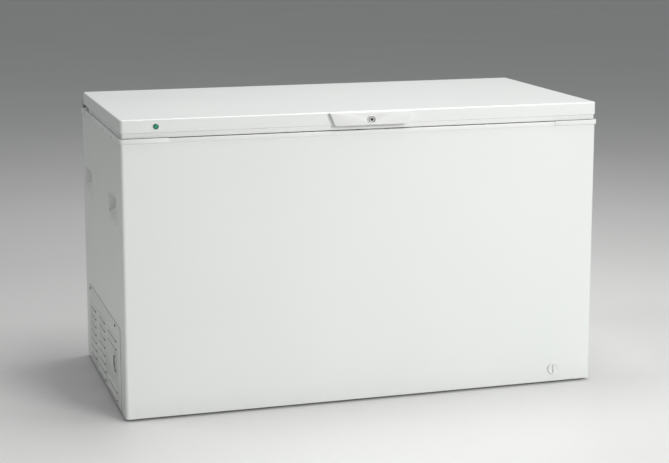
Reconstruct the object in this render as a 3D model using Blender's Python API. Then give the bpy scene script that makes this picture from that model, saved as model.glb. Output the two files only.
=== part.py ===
"""Chest freezer, built as an assembly of separate pieces.

Metres, +Z up, origin on the floor under the centre of the cabinet. The front
faces -Y and +X is to the right seen from the front. Every piece is one closed
body in its own object. Pieces that move hang under an empty on their joint axis.
"""

import math

import bmesh
import bpy
from mathutils import Matrix, Vector

# ---------------------------------------------------------------- dimensions
WIDTH = 1.470  # cabinet, side to side
DEPTH = 0.740  # cabinet, front to rear
GAP = 0.0003  # between pieces that touch
PAST_X = 0.75  # beyond the sides, where cutters end
PAST_Y = 0.40  # beyond the front and the rear

Z_CABINET = 0.008  # height of the glides
Z_COLLAR = 0.816  # underside of the plastic collar on the cabinet
Z_COLLAR_TOP = 0.828
Z_LIP = 0.8305  # underside of the lid's inner lip
Z_SHELL = 0.846  # lower edge of the lid's metal shell
Z_TOP = 0.884

HALF_W = WIDTH / 2
Y_FRONT = -DEPTH / 2
Y_REAR = DEPTH / 2
LID_REAR = Y_REAR - 0.025

SHEET = 0.0008  # outer sheet metal
CORNER_R = 0.010  # vertical corners of the cabinet and the lid
SIDE_CUT = 0.720  # inner end of the cutters through the side sheets
PAN_T = 0.001  # base pan

WELL_X = 0.668  # inside of the liner, half width
WELL_Y = 0.303
WELL_FLOOR = 0.0755
STEP_X = -0.415  # the step over the machine space
STEP_TOP = 0.325
LINER_T = 0.001
LINER_TOP = 0.823
WELL_R = 0.030

COIL_GAP = 0.012  # between liner and foam, for the evaporator tube
SKIN_GAP = 0.006  # between foam and outer sheet, for the condenser tube
FOAM_TOP = 0.8155
MACHINE_X = -0.475  # inner end of the machine space
MACHINE_TOP = 0.268

COLLAR_OUT = 0.0025  # how far the collar stands out from the cabinet
COLLAR_IN_X = 0.664
COLLAR_IN_Y = 0.299
COLLAR_T = 0.002
COLLAR_R = 0.012  # its vertical corners
COLLAR_HEM = 0.010  # how far its inner edge hangs into the well
COLLAR_EASE = 0.0015  # its rounded upper edges
CAP_T = 0.0017
CAP_TOP_FRONT = 0.8300
CAP_TOP_REAR = 0.8285
CAP_FRONT_RUN = 0.137
CAP_SIDE_RUN = 0.060

LIP_INSET = 0.004  # the lip along the lid's front and sides
LIP_T = 0.0025
LIP_END = 0.255  # it ends before the hinges
PLUG_X = 0.660  # the lid panel's plug, half width at its root
PLUG_Y = 0.295
PLUG_R = 0.026
PLUG_Z = 0.812
PANEL_T = 0.0022

GASKET_X = 0.688
GASKET_FRONT = -0.335
GASKET_REAR = 0.325
GASKET_W = 0.016
GASKET_R = 0.030
GASKET_WAIST = 0.003  # how far its folded sides draw in

HINGE_Y = 0.362
HINGE_Z = 0.838
KNUCKLE_R = 0.0085
PIN_R = 0.004
BORE_R = 0.0043
ARM_X0 = 0.6945
ARM_X1 = 0.7265
ARM_BARREL_X1 = 0.7085
EAR_T = 0.003
EAR_ROOM = 0.0035  # between the arm and each ear
HINGE_PLATE = (0.3748, 0.3773)  # the upright behind the lid, front and rear face
HINGE_FOOT = (0.3703, 0.3728)  # the leaf on the rear panel
HINGE_Z_SPAN = (0.735, 0.850)
HINGE_BEND = (0.804, 0.8125)  # the step that joins them
ARM_Y0 = 0.262
ARM_Z0 = 0.8427

HANDLE_TOP = (-0.121, 0.136)
HANDLE_BOTTOM = (-0.104, 0.121)
HANDLE_Z0 = 0.843
HANDLE_OUT = 0.012  # how far the handle stands out from the lid
HANDLE_WALL = 0.0025
HANDLE_X = (-0.0925, 0.1075)  # the part of the handle set into the lid
HANDLE_BACK = -0.352
HOUSING_Z = (0.8491, 0.8740)
HOUSING_T = 0.0015
HANDLE_POCKETS = ((-0.0880, -0.0125), (0.0275, 0.1030))
POCKET_TOP = 0.8715

LOCK_X = 0.0075
LOCK_Z = 0.860
LOCK_R = 0.009
CAM_Y0 = -0.3512
CAM_T = 0.003
CAM_LENGTH = 0.044
CAM_TOE = 0.016
CAM_HALF = 0.006
CAM_NECK = 0.006  # width of the toe
ESCUTCHEON_R = 0.0135
LOCK_PROUD = 0.0035  # how far the barrel stands out from the handle
KEY_SLOT = (0.0011, 0.0045)  # half width and half height
CAM_SLOT_X = (-0.004, 0.044)  # where the cam enters the collar
CAM_SLOT_Y = (-0.3535, -0.3460)
CAM_POCKET_X = (-0.020, 0.050)  # room for the cam in the foam
CAM_POCKET_Y = (-0.357, -0.340)
CAM_POCKET_Z = 0.790
STRIKE_X = (-0.014, 0.054)
STRIKE_Y = (-0.3620, -0.3375)

LIGHT_X = -0.632
LIGHT_Z = 0.863
LIGHT_R = 0.008
LIGHT_BACK = -0.345  # inner end of its housing
LAMP_X = 0.080
LAMP_Y = (-0.262, -0.202)
LAMP_Z = (0.7965, 0.8005, 0.8117)  # lens, housing and top
LAMP_WALL = 0.004

GRIP_Y = (-0.2155, 0.2525)  # centres of the hand grips on each side
GRIP_Z = 0.606
GRIP_HALF_Y = 0.0775
GRIP_HALF_Z = 0.046
GRIP_CUP_Y = 0.070
GRIP_CUP_Z = 0.041
GRIP_DEPTH = 0.035
GRIP_FIT = 0.0005  # room round the cup in the sheet
GRIP_ROOM = 0.001  # and in the foam
GRIP_POCKET = (  # (y, z) from the centre: the deep part, behind the ledge
    (-0.0675, 0.0380),
    (-0.0675, -0.0385),
    (-0.0550, -0.0350),
    (-0.0480, 0.0140),
    (0.0675, -0.0190),
    (0.0675, 0.0380),
)
GRIP_RAMP = (  # and the shallow part below it
    (-0.0560, -0.0370),
    (-0.0490, 0.0150),
    (0.0675, -0.0180),
    (0.0675, -0.0260),
)
RAMP_DEPTH = 0.012

GLIDE_X = 0.660
GLIDE_Y = 0.310
GLIDE_R = 0.022

GRILLE_Y = 0.300
GRILLE_Z = (0.012, 0.262)
SLOT_H = 0.007
SLOT_PITCH = 0.026
LOUVRES = (  # (y span, height of the lowest, how many are kept)
    ((0.152, 0.280), 0.052, (0, 1, 2, 3, 4, 5, 6)),
    ((-0.030, 0.104), 0.034, (0, 1, 2, 3, 4, 5, 6, 7)),
    ((-0.246, -0.070), 0.034, (0, 1, 6, 7)),
)
GRILLE_T = 0.0025
WINDOW_Y = 0.285  # opening in the side sheet behind the grille
WINDOW_Z = (0.030, 0.240)
SCREWS_Y = (0.273, -0.217)
SCREW_Z = 0.252
SCREW_HOLE_R = 0.0024
SCREW_R = 0.0020
SCREW_HEAD_R = 0.0045
KNOB_Y = -0.203
KNOB_Z = 0.131
BEZEL_R = 0.034
KNOB_R = 0.021
CUP_R = 0.0285  # the bezel's cup
CUP_BORE_R = 0.0265
CUP_X = 0.719  # its floor, from the cabinet's middle
BEZEL_X = 0.7392
KNOB_X = (0.7235, 0.7330)
KNOB_BAR_X = 0.7385
SHAFT_BORE_R = 0.0040
SHAFT_R = 0.0035
THERMOSTAT = (0.022, 0.020)  # half length and half height of its body
THERMOSTAT_X = 0.680

DRAIN_X = 0.611
DRAIN_Z = 0.049
DRAIN_Y = -0.250  # sump in the well's floor
DRAIN_CAP_R = 0.019
DRAIN_PIPE_R = 0.009
DRAIN_BORE_R = 0.007
DRAIN_FIT = 0.001  # room round the pipe
CAP_OUT = 0.0045  # how far the cap stands out
CAP_BAR = (0.0025, 0.0140)  # half width and half height of its grip
PLUG_HEAD_R = 0.013
PLUG_KNOB_R = 0.005

BASKET_X = 0.475
BASKET_HALF_X = 0.125
BASKET_HALF_Y = 0.285
BASKET_Z = (0.600, 0.790)
BASKET_CELLS = (3, 7, 2)
BASKET_WIRE = 0.0035
HOOK_ROUTE = ((0.2947, 0.803), (0.2947, 0.8303), (0.3040, 0.8303))  # (y, z), over the collar

COMPRESSOR = (-0.600, 0.060)
SHELL_PROFILE = (  # (radius, height), bottom to top, with the weld's rim
    (0.050, 0.0300),
    (0.074, 0.0420),
    (0.078, 0.0700),
    (0.078, 0.1180),
    (0.081, 0.1200),
    (0.081, 0.1260),
    (0.078, 0.1280),
    (0.076, 0.1750),
    (0.062, 0.2020),
    (0.030, 0.2150),
)
DRIER = (-0.500, 0.205)
DRIER_PROFILE = (
    (0.0035, 0.0600),
    (0.0035, 0.0680),
    (0.0095, 0.0780),
    (0.0095, 0.1500),
    (0.0035, 0.1600),
    (0.0035, 0.1700),
)
MOUNT_HALF = (0.090, 0.100)
MOUNT_Z = (0.0275, 0.0297)
MOUNT_FOOT = (0.075, 0.085)  # its feet, from the compressor's centre
MOUNT_FOOT_R = 0.011
GLAND = (-0.620, 0.060)  # the cord's gland in the rear panel
GLAND_HEAD_R = 0.012
GLAND_R = 0.006
GLAND_BORE_R = 0.0038

CONDENSER_X = 0.640
CONDENSER_ROWS = 8
CONDENSER_Z = 0.120  # its lowest row
CONDENSER_PITCH = 0.090
CONDENSER_BEND = 0.040
CONDENSER_R = 0.0023
EVAPORATOR_TURNS = 6
EVAPORATOR_Z = (0.400, 0.760)
EVAPORATOR_R = 0.0040
ROUND = 24  # sides of a small round piece

# ---------------------------------------------------------------- materials
FINISHES = {
    "enamel": ((0.80, 0.81, 0.79), 0.35, 0.0),
    "white_plastic": ((0.82, 0.83, 0.82), 0.40, 0.0),
    "liner": ((0.78, 0.80, 0.80), 0.45, 0.0),
    "foam": ((0.78, 0.70, 0.48), 0.95, 0.0),
    "zinc": ((0.55, 0.56, 0.57), 0.40, 1.0),
    "chrome": ((0.80, 0.80, 0.80), 0.12, 1.0),
    "copper": ((0.72, 0.38, 0.25), 0.30, 1.0),
    "black": ((0.02, 0.02, 0.02), 0.50, 0.0),
    "rubber": ((0.05, 0.05, 0.05), 0.80, 0.0),
    "gasket": ((0.55, 0.56, 0.56), 0.70, 0.0),
    "green_lens": ((0.02, 0.33, 0.20), 0.25, 0.0),
    "clear_lens": ((0.85, 0.87, 0.88), 0.20, 0.0),
}


def clear_scene():
    """Remove every object that the opened file holds."""
    for item in list(bpy.data.objects):
        bpy.data.objects.remove(item, do_unlink=True)


def make_material(name, finish):
    """Return a Principled BSDF material for one piece."""
    colour, roughness, metallic = FINISHES[finish]
    material = bpy.data.materials.new(name)
    material.use_nodes = True
    shader = material.node_tree.nodes["Principled BSDF"]
    shader.inputs["Base Color"].default_value = (*colour, 1.0)
    shader.inputs["Roughness"].default_value = roughness
    shader.inputs["Metallic"].default_value = metallic
    return material


# ---------------------------------------------------------------- mesh tools
def add_box(bm, x, y, z):
    """Add a box given its (low, high) span along each axis."""
    size = Vector((x[1] - x[0], y[1] - y[0], z[1] - z[0]))
    middle = Vector((x[0] + x[1], y[0] + y[1], z[0] + z[1])) / 2
    matrix = Matrix.Translation(middle) @ Matrix.Diagonal((*size, 1.0))
    bmesh.ops.create_cube(bm, size=1.0, matrix=matrix)


def add_cylinder(bm, axis, centre, span, radius, sides=ROUND):
    """Add a cylinder along an axis letter; centre holds the two other coordinates."""
    turn = {
        "X": Matrix.Rotation(math.pi / 2, 4, "Y"),
        "Y": Matrix.Rotation(-math.pi / 2, 4, "X"),
        "Z": Matrix.Identity(4),
    }[axis]
    middle = (span[0] + span[1]) / 2
    place = {
        "X": (middle, centre[0], centre[1]),
        "Y": (centre[0], middle, centre[1]),
        "Z": (centre[0], centre[1], middle),
    }[axis]
    bmesh.ops.create_cone(
        bm,
        cap_ends=True,
        segments=sides,
        radius1=radius,
        radius2=radius,
        depth=span[1] - span[0],
        matrix=Matrix.Translation(place) @ turn,
    )


def add_prism(bm, axis, outline, span):
    """Extrude a flat outline along an axis; outline holds the two other coordinates."""
    place = {
        "X": lambda a, b, t: (t, a, b),
        "Y": lambda a, b, t: (a, t, b),
        "Z": lambda a, b, t: (a, b, t),
    }[axis]
    start = [bm.verts.new(place(a, b, span[0])) for a, b in outline]
    end = [bm.verts.new(place(a, b, span[1])) for a, b in outline]
    bm.faces.new(start)
    bm.faces.new(end)
    count = len(outline)
    for i in range(count):
        j = (i + 1) % count
        bm.faces.new((start[i], start[j], end[j], end[i]))


def arc(centre, radius, start, end, steps):
    """Return points on an arc between two angles in degrees."""
    points = []
    for i in range(steps + 1):
        angle = math.radians(start + (end - start) * i / steps)
        points.append(
            (
                centre[0] + radius * math.cos(angle),
                centre[1] + radius * math.sin(angle),
            )
        )
    return points


def rounded_rectangle(x, y, radius, steps=4):
    """Return the outline of a rounded rectangle, given its spans."""
    points = []
    points += arc((x[1] - radius, y[0] + radius), radius, -90, 0, steps)
    points += arc((x[1] - radius, y[1] - radius), radius, 0, 90, steps)
    points += arc((x[0] + radius, y[1] - radius), radius, 90, 180, steps)
    points += arc((x[0] + radius, y[0] + radius), radius, 180, 270, steps)
    return points


def loft(bm, rings, closed=False):
    """Join rings of (outline, height) into a skin, capped unless it closes on itself."""
    loops = [
        [bm.verts.new((px, py, height)) for px, py in outline]
        for outline, height in rings
    ]
    pairs = list(zip(loops, loops[1:]))
    if closed:
        pairs.append((loops[-1], loops[0]))
    for low, high in pairs:
        count = len(low)
        for i in range(count):
            j = (i + 1) % count
            bm.faces.new((low[i], low[j], high[j], high[i]))
    if not closed:
        bm.faces.new(loops[0])
        bm.faces.new(loops[-1])


def lid_ring(inset, height):
    """Return a ring of the lid's outline, set in by some distance."""
    radius = max(CORNER_R - inset, 0.003)
    x = (-HALF_W + inset, HALF_W - inset)
    y = (Y_FRONT + inset, LID_REAR - inset)
    return rounded_rectangle(x, y, radius), height


def plug_ring(inset, height):
    """Return a ring of the plug that hangs from the lid into the well."""
    x = (-PLUG_X + inset, PLUG_X - inset)
    y = (-PLUG_Y + inset, PLUG_Y - inset)
    return rounded_rectangle(x, y, PLUG_R), height


def smooth_sharp(mesh):
    """Shade round faces smooth and keep corners sharp."""
    mesh.shade_smooth()
    mesh.set_sharp_from_angle(angle=math.radians(32))


def make_object(name, finish, bm):
    """Turn a bmesh into an object with its own material."""
    bmesh.ops.recalc_face_normals(bm, faces=bm.faces)
    mesh = bpy.data.meshes.new(name)
    bm.to_mesh(mesh)
    bm.free()
    item = bpy.data.objects.new(name, mesh)
    mesh.materials.append(make_material(name, finish))
    smooth_sharp(mesh)
    bpy.context.scene.collection.objects.link(item)
    return item


def combine(item, tool_bm, operation):
    """Apply one exact Boolean and drop its tool."""
    tool = make_object(item.name + "_tool", "zinc", tool_bm)
    modifier = item.modifiers.new("boolean", "BOOLEAN")
    modifier.operation = operation
    modifier.solver = "EXACT"
    modifier.object = tool
    graph = bpy.context.evaluated_depsgraph_get()
    result = bpy.data.meshes.new_from_object(item.evaluated_get(graph))
    item.modifiers.remove(modifier)
    item.data = result
    result.materials.clear()
    result.materials.append(bpy.data.materials[item.name])
    bpy.data.objects.remove(tool, do_unlink=True)
    smooth_sharp(result)


def cut(item, *shapes):
    """Cut a list of shapes, each a function that fills a bmesh, out of an object."""
    for shape in shapes:
        tool_bm = bmesh.new()
        shape(tool_bm)
        combine(item, tool_bm, "DIFFERENCE")


def join(item, *shapes):
    """Add a list of shapes, each a function that fills a bmesh, to an object."""
    for shape in shapes:
        tool_bm = bmesh.new()
        shape(tool_bm)
        combine(item, tool_bm, "UNION")


def box(x, y, z):
    """Return a shape function for a box."""
    return lambda bm: add_box(bm, x, y, z)


def cylinder(axis, centre, span, radius, sides=ROUND):
    """Return a shape function for a cylinder."""
    return lambda bm: add_cylinder(bm, axis, centre, span, radius, sides)


def prism(axis, outline, span):
    """Return a shape function for an extruded outline."""
    return lambda bm: add_prism(bm, axis, outline, span)


def solid(name, finish, shape):
    """Make an object from one shape function."""
    bm = bmesh.new()
    shape(bm)
    return make_object(name, finish, bm)


def tube(name, finish, points, radius, sides=3):
    """Make a closed round tube along a list of points."""
    curve = bpy.data.curves.new(name, "CURVE")
    curve.dimensions = "3D"
    curve.bevel_depth = radius
    curve.bevel_resolution = sides
    curve.use_fill_caps = True
    spline = curve.splines.new("POLY")
    spline.points.add(len(points) - 1)
    for point, place in zip(spline.points, points):
        point.co = (*place, 1.0)
    item = bpy.data.objects.new(name, curve)
    curve.materials.append(make_material(name, finish))
    bpy.context.scene.collection.objects.link(item)
    return item


def pivot(name, place):
    """Make an empty on a joint axis."""
    item = bpy.data.objects.new(name, None)
    item.empty_display_size = 0.03
    item.location = place
    bpy.context.scene.collection.objects.link(item)
    return item


def hang(parent, *items):
    """Parent pieces built in world coordinates to an empty, without moving them."""
    for item in items:
        item.parent = parent
        item.matrix_parent_inverse = Matrix.Translation(parent.location).inverted()


def mirrored(outline):
    """Return an outline mirrored left to right."""
    return [(-a, b) for a, b in reversed(outline)]


# ---------------------------------------------------------------- cabinet
def wrapper_outline():
    """Return the plan of the wrap-round sheet: front and both sides."""
    rear = Y_REAR - SHEET - GAP
    outer = [(-HALF_W, rear)]
    outer += arc((-HALF_W + CORNER_R, Y_FRONT + CORNER_R), CORNER_R, 180, 270, 4)
    outer += arc((HALF_W - CORNER_R, Y_FRONT + CORNER_R), CORNER_R, 270, 360, 4)
    outer += [(HALF_W, rear)]
    inner_r = CORNER_R - SHEET
    inner = [(HALF_W - SHEET, rear)]
    inner += arc((HALF_W - CORNER_R, Y_FRONT + CORNER_R), inner_r, 360, 270, 4)
    inner += arc((-HALF_W + CORNER_R, Y_FRONT + CORNER_R), inner_r, 270, 180, 4)
    inner += [(-HALF_W + SHEET, rear)]
    return outer + inner


def side_span(side, inner, outer):
    """Return an X span on the left (-1) or right (+1) side."""
    return (inner, outer) if side > 0 else (-outer, -inner)


def screw_places():
    """Return the (y, z) places of the screws that hold the grille."""
    return tuple((y, SCREW_Z) for y in SCREWS_Y)


def cup_spans(middle, room):
    """Return the (y, z) spans of a hand grip's cup with some room round it."""
    reach_y = GRIP_CUP_Y + room
    reach_z = GRIP_CUP_Z + room
    return (middle - reach_y, middle + reach_y), (GRIP_Z - reach_z, GRIP_Z + reach_z)


def make_cabinet():
    """Make the outer sheets, the foam, the liner and the collar."""
    wrapper = solid(
        "cabinet_wrapper",
        "enamel",
        prism("Z", wrapper_outline(), (Z_CABINET, Z_COLLAR - GAP)),
    )
    for side in (-1, 1):
        for middle in GRIP_Y:
            cut(wrapper, box(side_span(side, SIDE_CUT, PAST_X), *cup_spans(middle, GRIP_FIT)))
    cut(
        wrapper,
        box((-PAST_X, -SIDE_CUT), (-WINDOW_Y, WINDOW_Y), WINDOW_Z),
        cylinder("Y", (DRAIN_X, DRAIN_Z), (-PAST_Y, Y_FRONT + CORNER_R), DRAIN_PIPE_R + DRAIN_FIT),
    )
    for place in screw_places():
        cut(wrapper, cylinder("X", place, (-PAST_X, -SIDE_CUT), SCREW_HOLE_R, 12))

    rear = solid(
        "rear_panel",
        "enamel",
        box(
            (-HALF_W, HALF_W),
            (Y_REAR - SHEET, Y_REAR),
            (Z_CABINET, Z_COLLAR - GAP),
        ),
    )
    cut(rear, cylinder("Y", GLAND, (Y_REAR - CORNER_R, PAST_Y), GLAND_R + GRIP_FIT))

    inner_x = HALF_W - SHEET - GAP
    inner_y = DEPTH / 2 - SHEET - GAP
    solid(
        "base_pan",
        "zinc",
        prism(
            "Z",
            rounded_rectangle((-inner_x, inner_x), (-inner_y, inner_y), CORNER_R),
            (Z_CABINET + GAP, Z_CABINET + GAP + PAN_T),
        ),
    )
    make_liner()
    make_foam(inner_x, inner_y)
    make_collar()


def stepped_shape(x, y, z, step_x, step_z, radius):
    """Return a shape function: a box with a step cut from its lower left."""

    def fill(bm):
        outline = [
            (x[1], z[0]),
            (x[1], z[1]),
            (x[0], z[1]),
            (x[0], step_z),
            (step_x, step_z),
            (step_x, z[0]),
        ]
        add_prism(bm, "Y", outline, y)
        upright = [
            edge
            for edge in bm.edges
            if abs(edge.verts[0].co.z - edge.verts[1].co.z) > 0.01
            and abs(edge.verts[0].co.x - step_x) > 0.001
        ]
        bmesh.ops.bevel(
            bm, geom=upright, offset=radius, segments=3, profile=0.5, affect="EDGES"
        )

    return fill


def well_shape(grow, top, radius):
    """Return the well's shape, grown outwards by some distance."""
    return stepped_shape(
        (-WELL_X - grow, WELL_X + grow),
        (-WELL_Y - grow, WELL_Y + grow),
        (WELL_FLOOR - min(grow, LINER_T + GAP), top),
        STEP_X - min(grow, LINER_T + GAP),
        STEP_TOP - min(grow, LINER_T + GAP),
        radius,
    )


def well_plan(grow):
    """Return the plan of the well, grown outwards by some distance."""
    x = WELL_X + grow
    y = WELL_Y + grow
    return rounded_rectangle((-x, x), (-y, y), WELL_R + grow)


def make_liner():
    """Make the open tub: a folded wall, and a floor with its step over the machine space."""
    bottom = WELL_FLOOR - LINER_T
    rings = [
        (well_plan(LINER_T), bottom),
        (well_plan(LINER_T), LINER_TOP),
        (well_plan(0.0), LINER_TOP),
        (well_plan(0.0), bottom),
    ]
    bm = bmesh.new()
    loft(bm, rings, closed=True)
    wall = make_object("inner_liner", "liner", bm)
    under_step = STEP_TOP - LINER_T
    cut(wall, box((-HALF_W, STEP_X - LINER_T), (-HALF_W, HALF_W), (0.0, under_step)))

    outline = [
        (STEP_X - LINER_T, bottom),
        (WELL_X, bottom),
        (WELL_X, WELL_FLOOR),
        (STEP_X, WELL_FLOOR),
        (STEP_X, STEP_TOP),
        (-WELL_X, STEP_TOP),
        (-WELL_X, under_step),
        (STEP_X - LINER_T, under_step),
    ]
    floor = solid("liner_floor", "liner", prism("Y", outline, (-WELL_Y, WELL_Y)))
    inside = bmesh.new()
    add_prism(inside, "Z", well_plan(-GAP), (0.0, LINER_TOP))
    combine(floor, inside, "INTERSECT")
    hole = DRAIN_BORE_R + GAP
    cut(floor, cylinder("Z", (DRAIN_X, DRAIN_Y), (0.0, LINER_TOP), hole))


def make_foam(inner_x, inner_y):
    """Make the insulation between the liner and the outer sheets."""
    foam_x = inner_x - SKIN_GAP
    foam_y = inner_y - SKIN_GAP
    foam = solid(
        "foam_insulation",
        "foam",
        box(
            (-foam_x, foam_x),
            (-foam_y, foam_y),
            (Z_CABINET + PAN_T + 2 * GAP, FOAM_TOP),
        ),
    )
    cut(
        foam,
        well_shape(COIL_GAP + LINER_T, Z_TOP, WELL_R + COIL_GAP),
        box((-PAST_X, MACHINE_X), (-PAST_Y, PAST_Y), (0.0, MACHINE_TOP)),
    )
    for side in (-1, 1):
        for middle in GRIP_Y:
            depth_x = side_span(side, HALF_W - GRIP_DEPTH - GRIP_ROOM, PAST_X)
            cut(foam, box(depth_x, *cup_spans(middle, GRIP_ROOM)))
    around = DRAIN_PIPE_R + DRAIN_FIT
    cut(
        foam,
        box(
            (DRAIN_X - around, DRAIN_X + around),
            (-PAST_Y, DRAIN_Y + around),
            (DRAIN_Z - around, DRAIN_Z + around),
        ),
        box(
            (DRAIN_X - around, DRAIN_X + around),
            (DRAIN_Y - around, DRAIN_Y + around),
            (DRAIN_Z, WELL_FLOOR),
        ),
        box(CAM_POCKET_X, CAM_POCKET_Y, (CAM_POCKET_Z, Z_COLLAR_TOP)),
    )


def make_collar():
    """Make the plastic frame on the cabinet's top, its corner caps and the strike."""

    def ring(out, height, radius):
        reach = HALF_W + out
        depth = DEPTH / 2 + out
        return rounded_rectangle((-reach, reach), (-depth, depth), radius), height

    def hole(grow, height, radius):
        reach = COLLAR_IN_X + grow
        depth = COLLAR_IN_Y + grow
        return rounded_rectangle((-reach, reach), (-depth, depth), radius), height

    hole_r = 0.027
    under = Z_COLLAR_TOP - 0.0045
    shoulder = Z_COLLAR_TOP - COLLAR_EASE
    hem = Z_COLLAR - COLLAR_HEM
    hem_t = 0.0025
    rings = [
        ring(COLLAR_OUT, Z_COLLAR, COLLAR_R),
        ring(COLLAR_OUT, shoulder, COLLAR_R),
        ring(COLLAR_OUT - COLLAR_EASE, Z_COLLAR_TOP, COLLAR_R - COLLAR_EASE),
        hole(COLLAR_EASE, Z_COLLAR_TOP, hole_r + COLLAR_EASE),
        hole(0.0, shoulder, hole_r),
        hole(0.0, hem, hole_r),
        hole(hem_t, hem, hole_r + hem_t),
        hole(hem_t, under, hole_r + hem_t),
        ring(COLLAR_OUT - COLLAR_T, under, COLLAR_R - COLLAR_T),
        ring(COLLAR_OUT - COLLAR_T, Z_COLLAR, COLLAR_R - COLLAR_T),
    ]
    bm = bmesh.new()
    loft(bm, rings, closed=True)
    collar = make_object("collar_frame", "white_plastic", bm)
    slot = box(CAM_SLOT_X, CAM_SLOT_Y, (CAM_POCKET_Z, Z_SHELL))
    cut(collar, slot)

    strike = solid(
        "lock_strike",
        "zinc",
        box(STRIKE_X, STRIKE_Y, (Z_COLLAR_TOP + GAP, Z_COLLAR_TOP + 0.0014)),
    )
    cut(strike, slot)

    for name, side, front, run, top in (
        ("corner_cap_front_left", -1, True, CAP_FRONT_RUN, CAP_TOP_FRONT),
        ("corner_cap_front_right", 1, True, CAP_FRONT_RUN, CAP_TOP_FRONT),
        ("corner_cap_rear_left", -1, False, CAP_SIDE_RUN, CAP_TOP_REAR),
        ("corner_cap_rear_right", 1, False, CAP_SIDE_RUN, CAP_TOP_REAR),
    ):
        outline = cap_outline(run)
        if side < 0:
            outline = mirrored(outline)
        if not front:
            outline = [(a, -b) for a, b in reversed(outline)]
        solid(name, "white_plastic", prism("Z", outline, (Z_COLLAR, top)))


def cap_outline(run):
    """Return the plan of the front right corner cap."""
    inner = COLLAR_OUT + GAP
    outer = inner + CAP_T
    x_out = HALF_W + outer
    x_in = HALF_W + inner
    y_out = Y_FRONT - outer
    y_in = Y_FRONT - inner
    end_x = HALF_W - run
    end_y = Y_FRONT + CAP_SIDE_RUN
    radius = COLLAR_R + CAP_T
    outside = [(end_x, y_out)]
    outside += arc((x_out - radius, y_out + radius), radius, -90, 0, 4)
    outside += [(x_out, end_y)]
    inside = [(x_in, end_y)]
    inside += arc((x_in - COLLAR_R, y_in + COLLAR_R), COLLAR_R, 0, -90, 4)
    inside += [(end_x, y_in)]
    return outside + inside


def make_grips():
    """Make the four recessed hand grips on the cabinet's sides."""
    names = {(-1, 0): "front_left", (-1, 1): "rear_left"}
    names.update({(1, 0): "front_right", (1, 1): "rear_right"})
    for (side, index), name in names.items():
        middle = GRIP_Y[index]
        flange = rounded_rectangle(
            (middle - GRIP_HALF_Y, middle + GRIP_HALF_Y),
            (GRIP_Z - GRIP_HALF_Z, GRIP_Z + GRIP_HALF_Z),
            0.014,
        )
        cup = rounded_rectangle(*cup_spans(middle, 0.0), 0.008)
        grip = solid(
            "hand_grip_" + name,
            "white_plastic",
            prism("X", flange, side_span(side, HALF_W + GAP, HALF_W + 0.003)),
        )
        join(
            grip,
            prism("X", cup, side_span(side, HALF_W - GRIP_DEPTH, HALF_W + 0.001)),
        )
        for outline, depth in ((GRIP_POCKET, GRIP_DEPTH - 0.002), (GRIP_RAMP, RAMP_DEPTH)):
            points = [(middle + a, GRIP_Z + b) for a, b in outline]
            cut(
                grip,
                prism("X", points, side_span(side, HALF_W - depth, HALF_W + 0.01)),
            )


def make_glides():
    """Make the four low glides under the base."""
    for name, x, y in (
        ("front_left", -GLIDE_X, -GLIDE_Y),
        ("front_right", GLIDE_X, -GLIDE_Y),
        ("rear_left", -GLIDE_X, GLIDE_Y),
        ("rear_right", GLIDE_X, GLIDE_Y),
    ):
        solid(
            "base_glide_" + name,
            "rubber",
            cylinder("Z", (x, y), (0.0, Z_CABINET), GLIDE_R, 20),
        )


# ---------------------------------------------------------------- machine space
def louvre_slots():
    """Return the (y span, z middle) of every slot in the grille."""
    return [
        (span, lowest + SLOT_PITCH * row)
        for span, lowest, rows in LOUVRES
        for row in rows
    ]


def make_grille():
    """Make the louvred cover of the machine space with its screws."""
    outline = rounded_rectangle((-GRILLE_Y, GRILLE_Y), GRILLE_Z, 0.006, 2)
    grille = solid(
        "vent_grille",
        "enamel",
        prism("X", outline, side_span(-1, HALF_W + GAP, HALF_W + GRILLE_T)),
    )

    through = (-PAST_X, -SIDE_CUT)

    def slots(bm):
        for span, height in louvre_slots():
            spot = (height - SLOT_H / 2, height + SLOT_H / 2)
            add_box(bm, through, span, spot)
        for place in screw_places():
            add_cylinder(bm, "X", place, through, SCREW_HOLE_R, 12)
        add_cylinder(bm, "X", (KNOB_Y, KNOB_Z), through, BEZEL_R - 0.005)

    cut(grille, slots)
    seat = HALF_W + GRILLE_T + GAP
    for index, place in enumerate(screw_places(), start=1):
        screw = solid(
            "grille_screw_%d" % index,
            "zinc",
            cylinder("X", place, side_span(-1, seat, seat + 0.0012), SCREW_HEAD_R, 16),
        )
        join(
            screw,
            cylinder("X", place, side_span(-1, seat - 0.0108, seat + 0.0002), SCREW_R, 12),
        )


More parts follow.
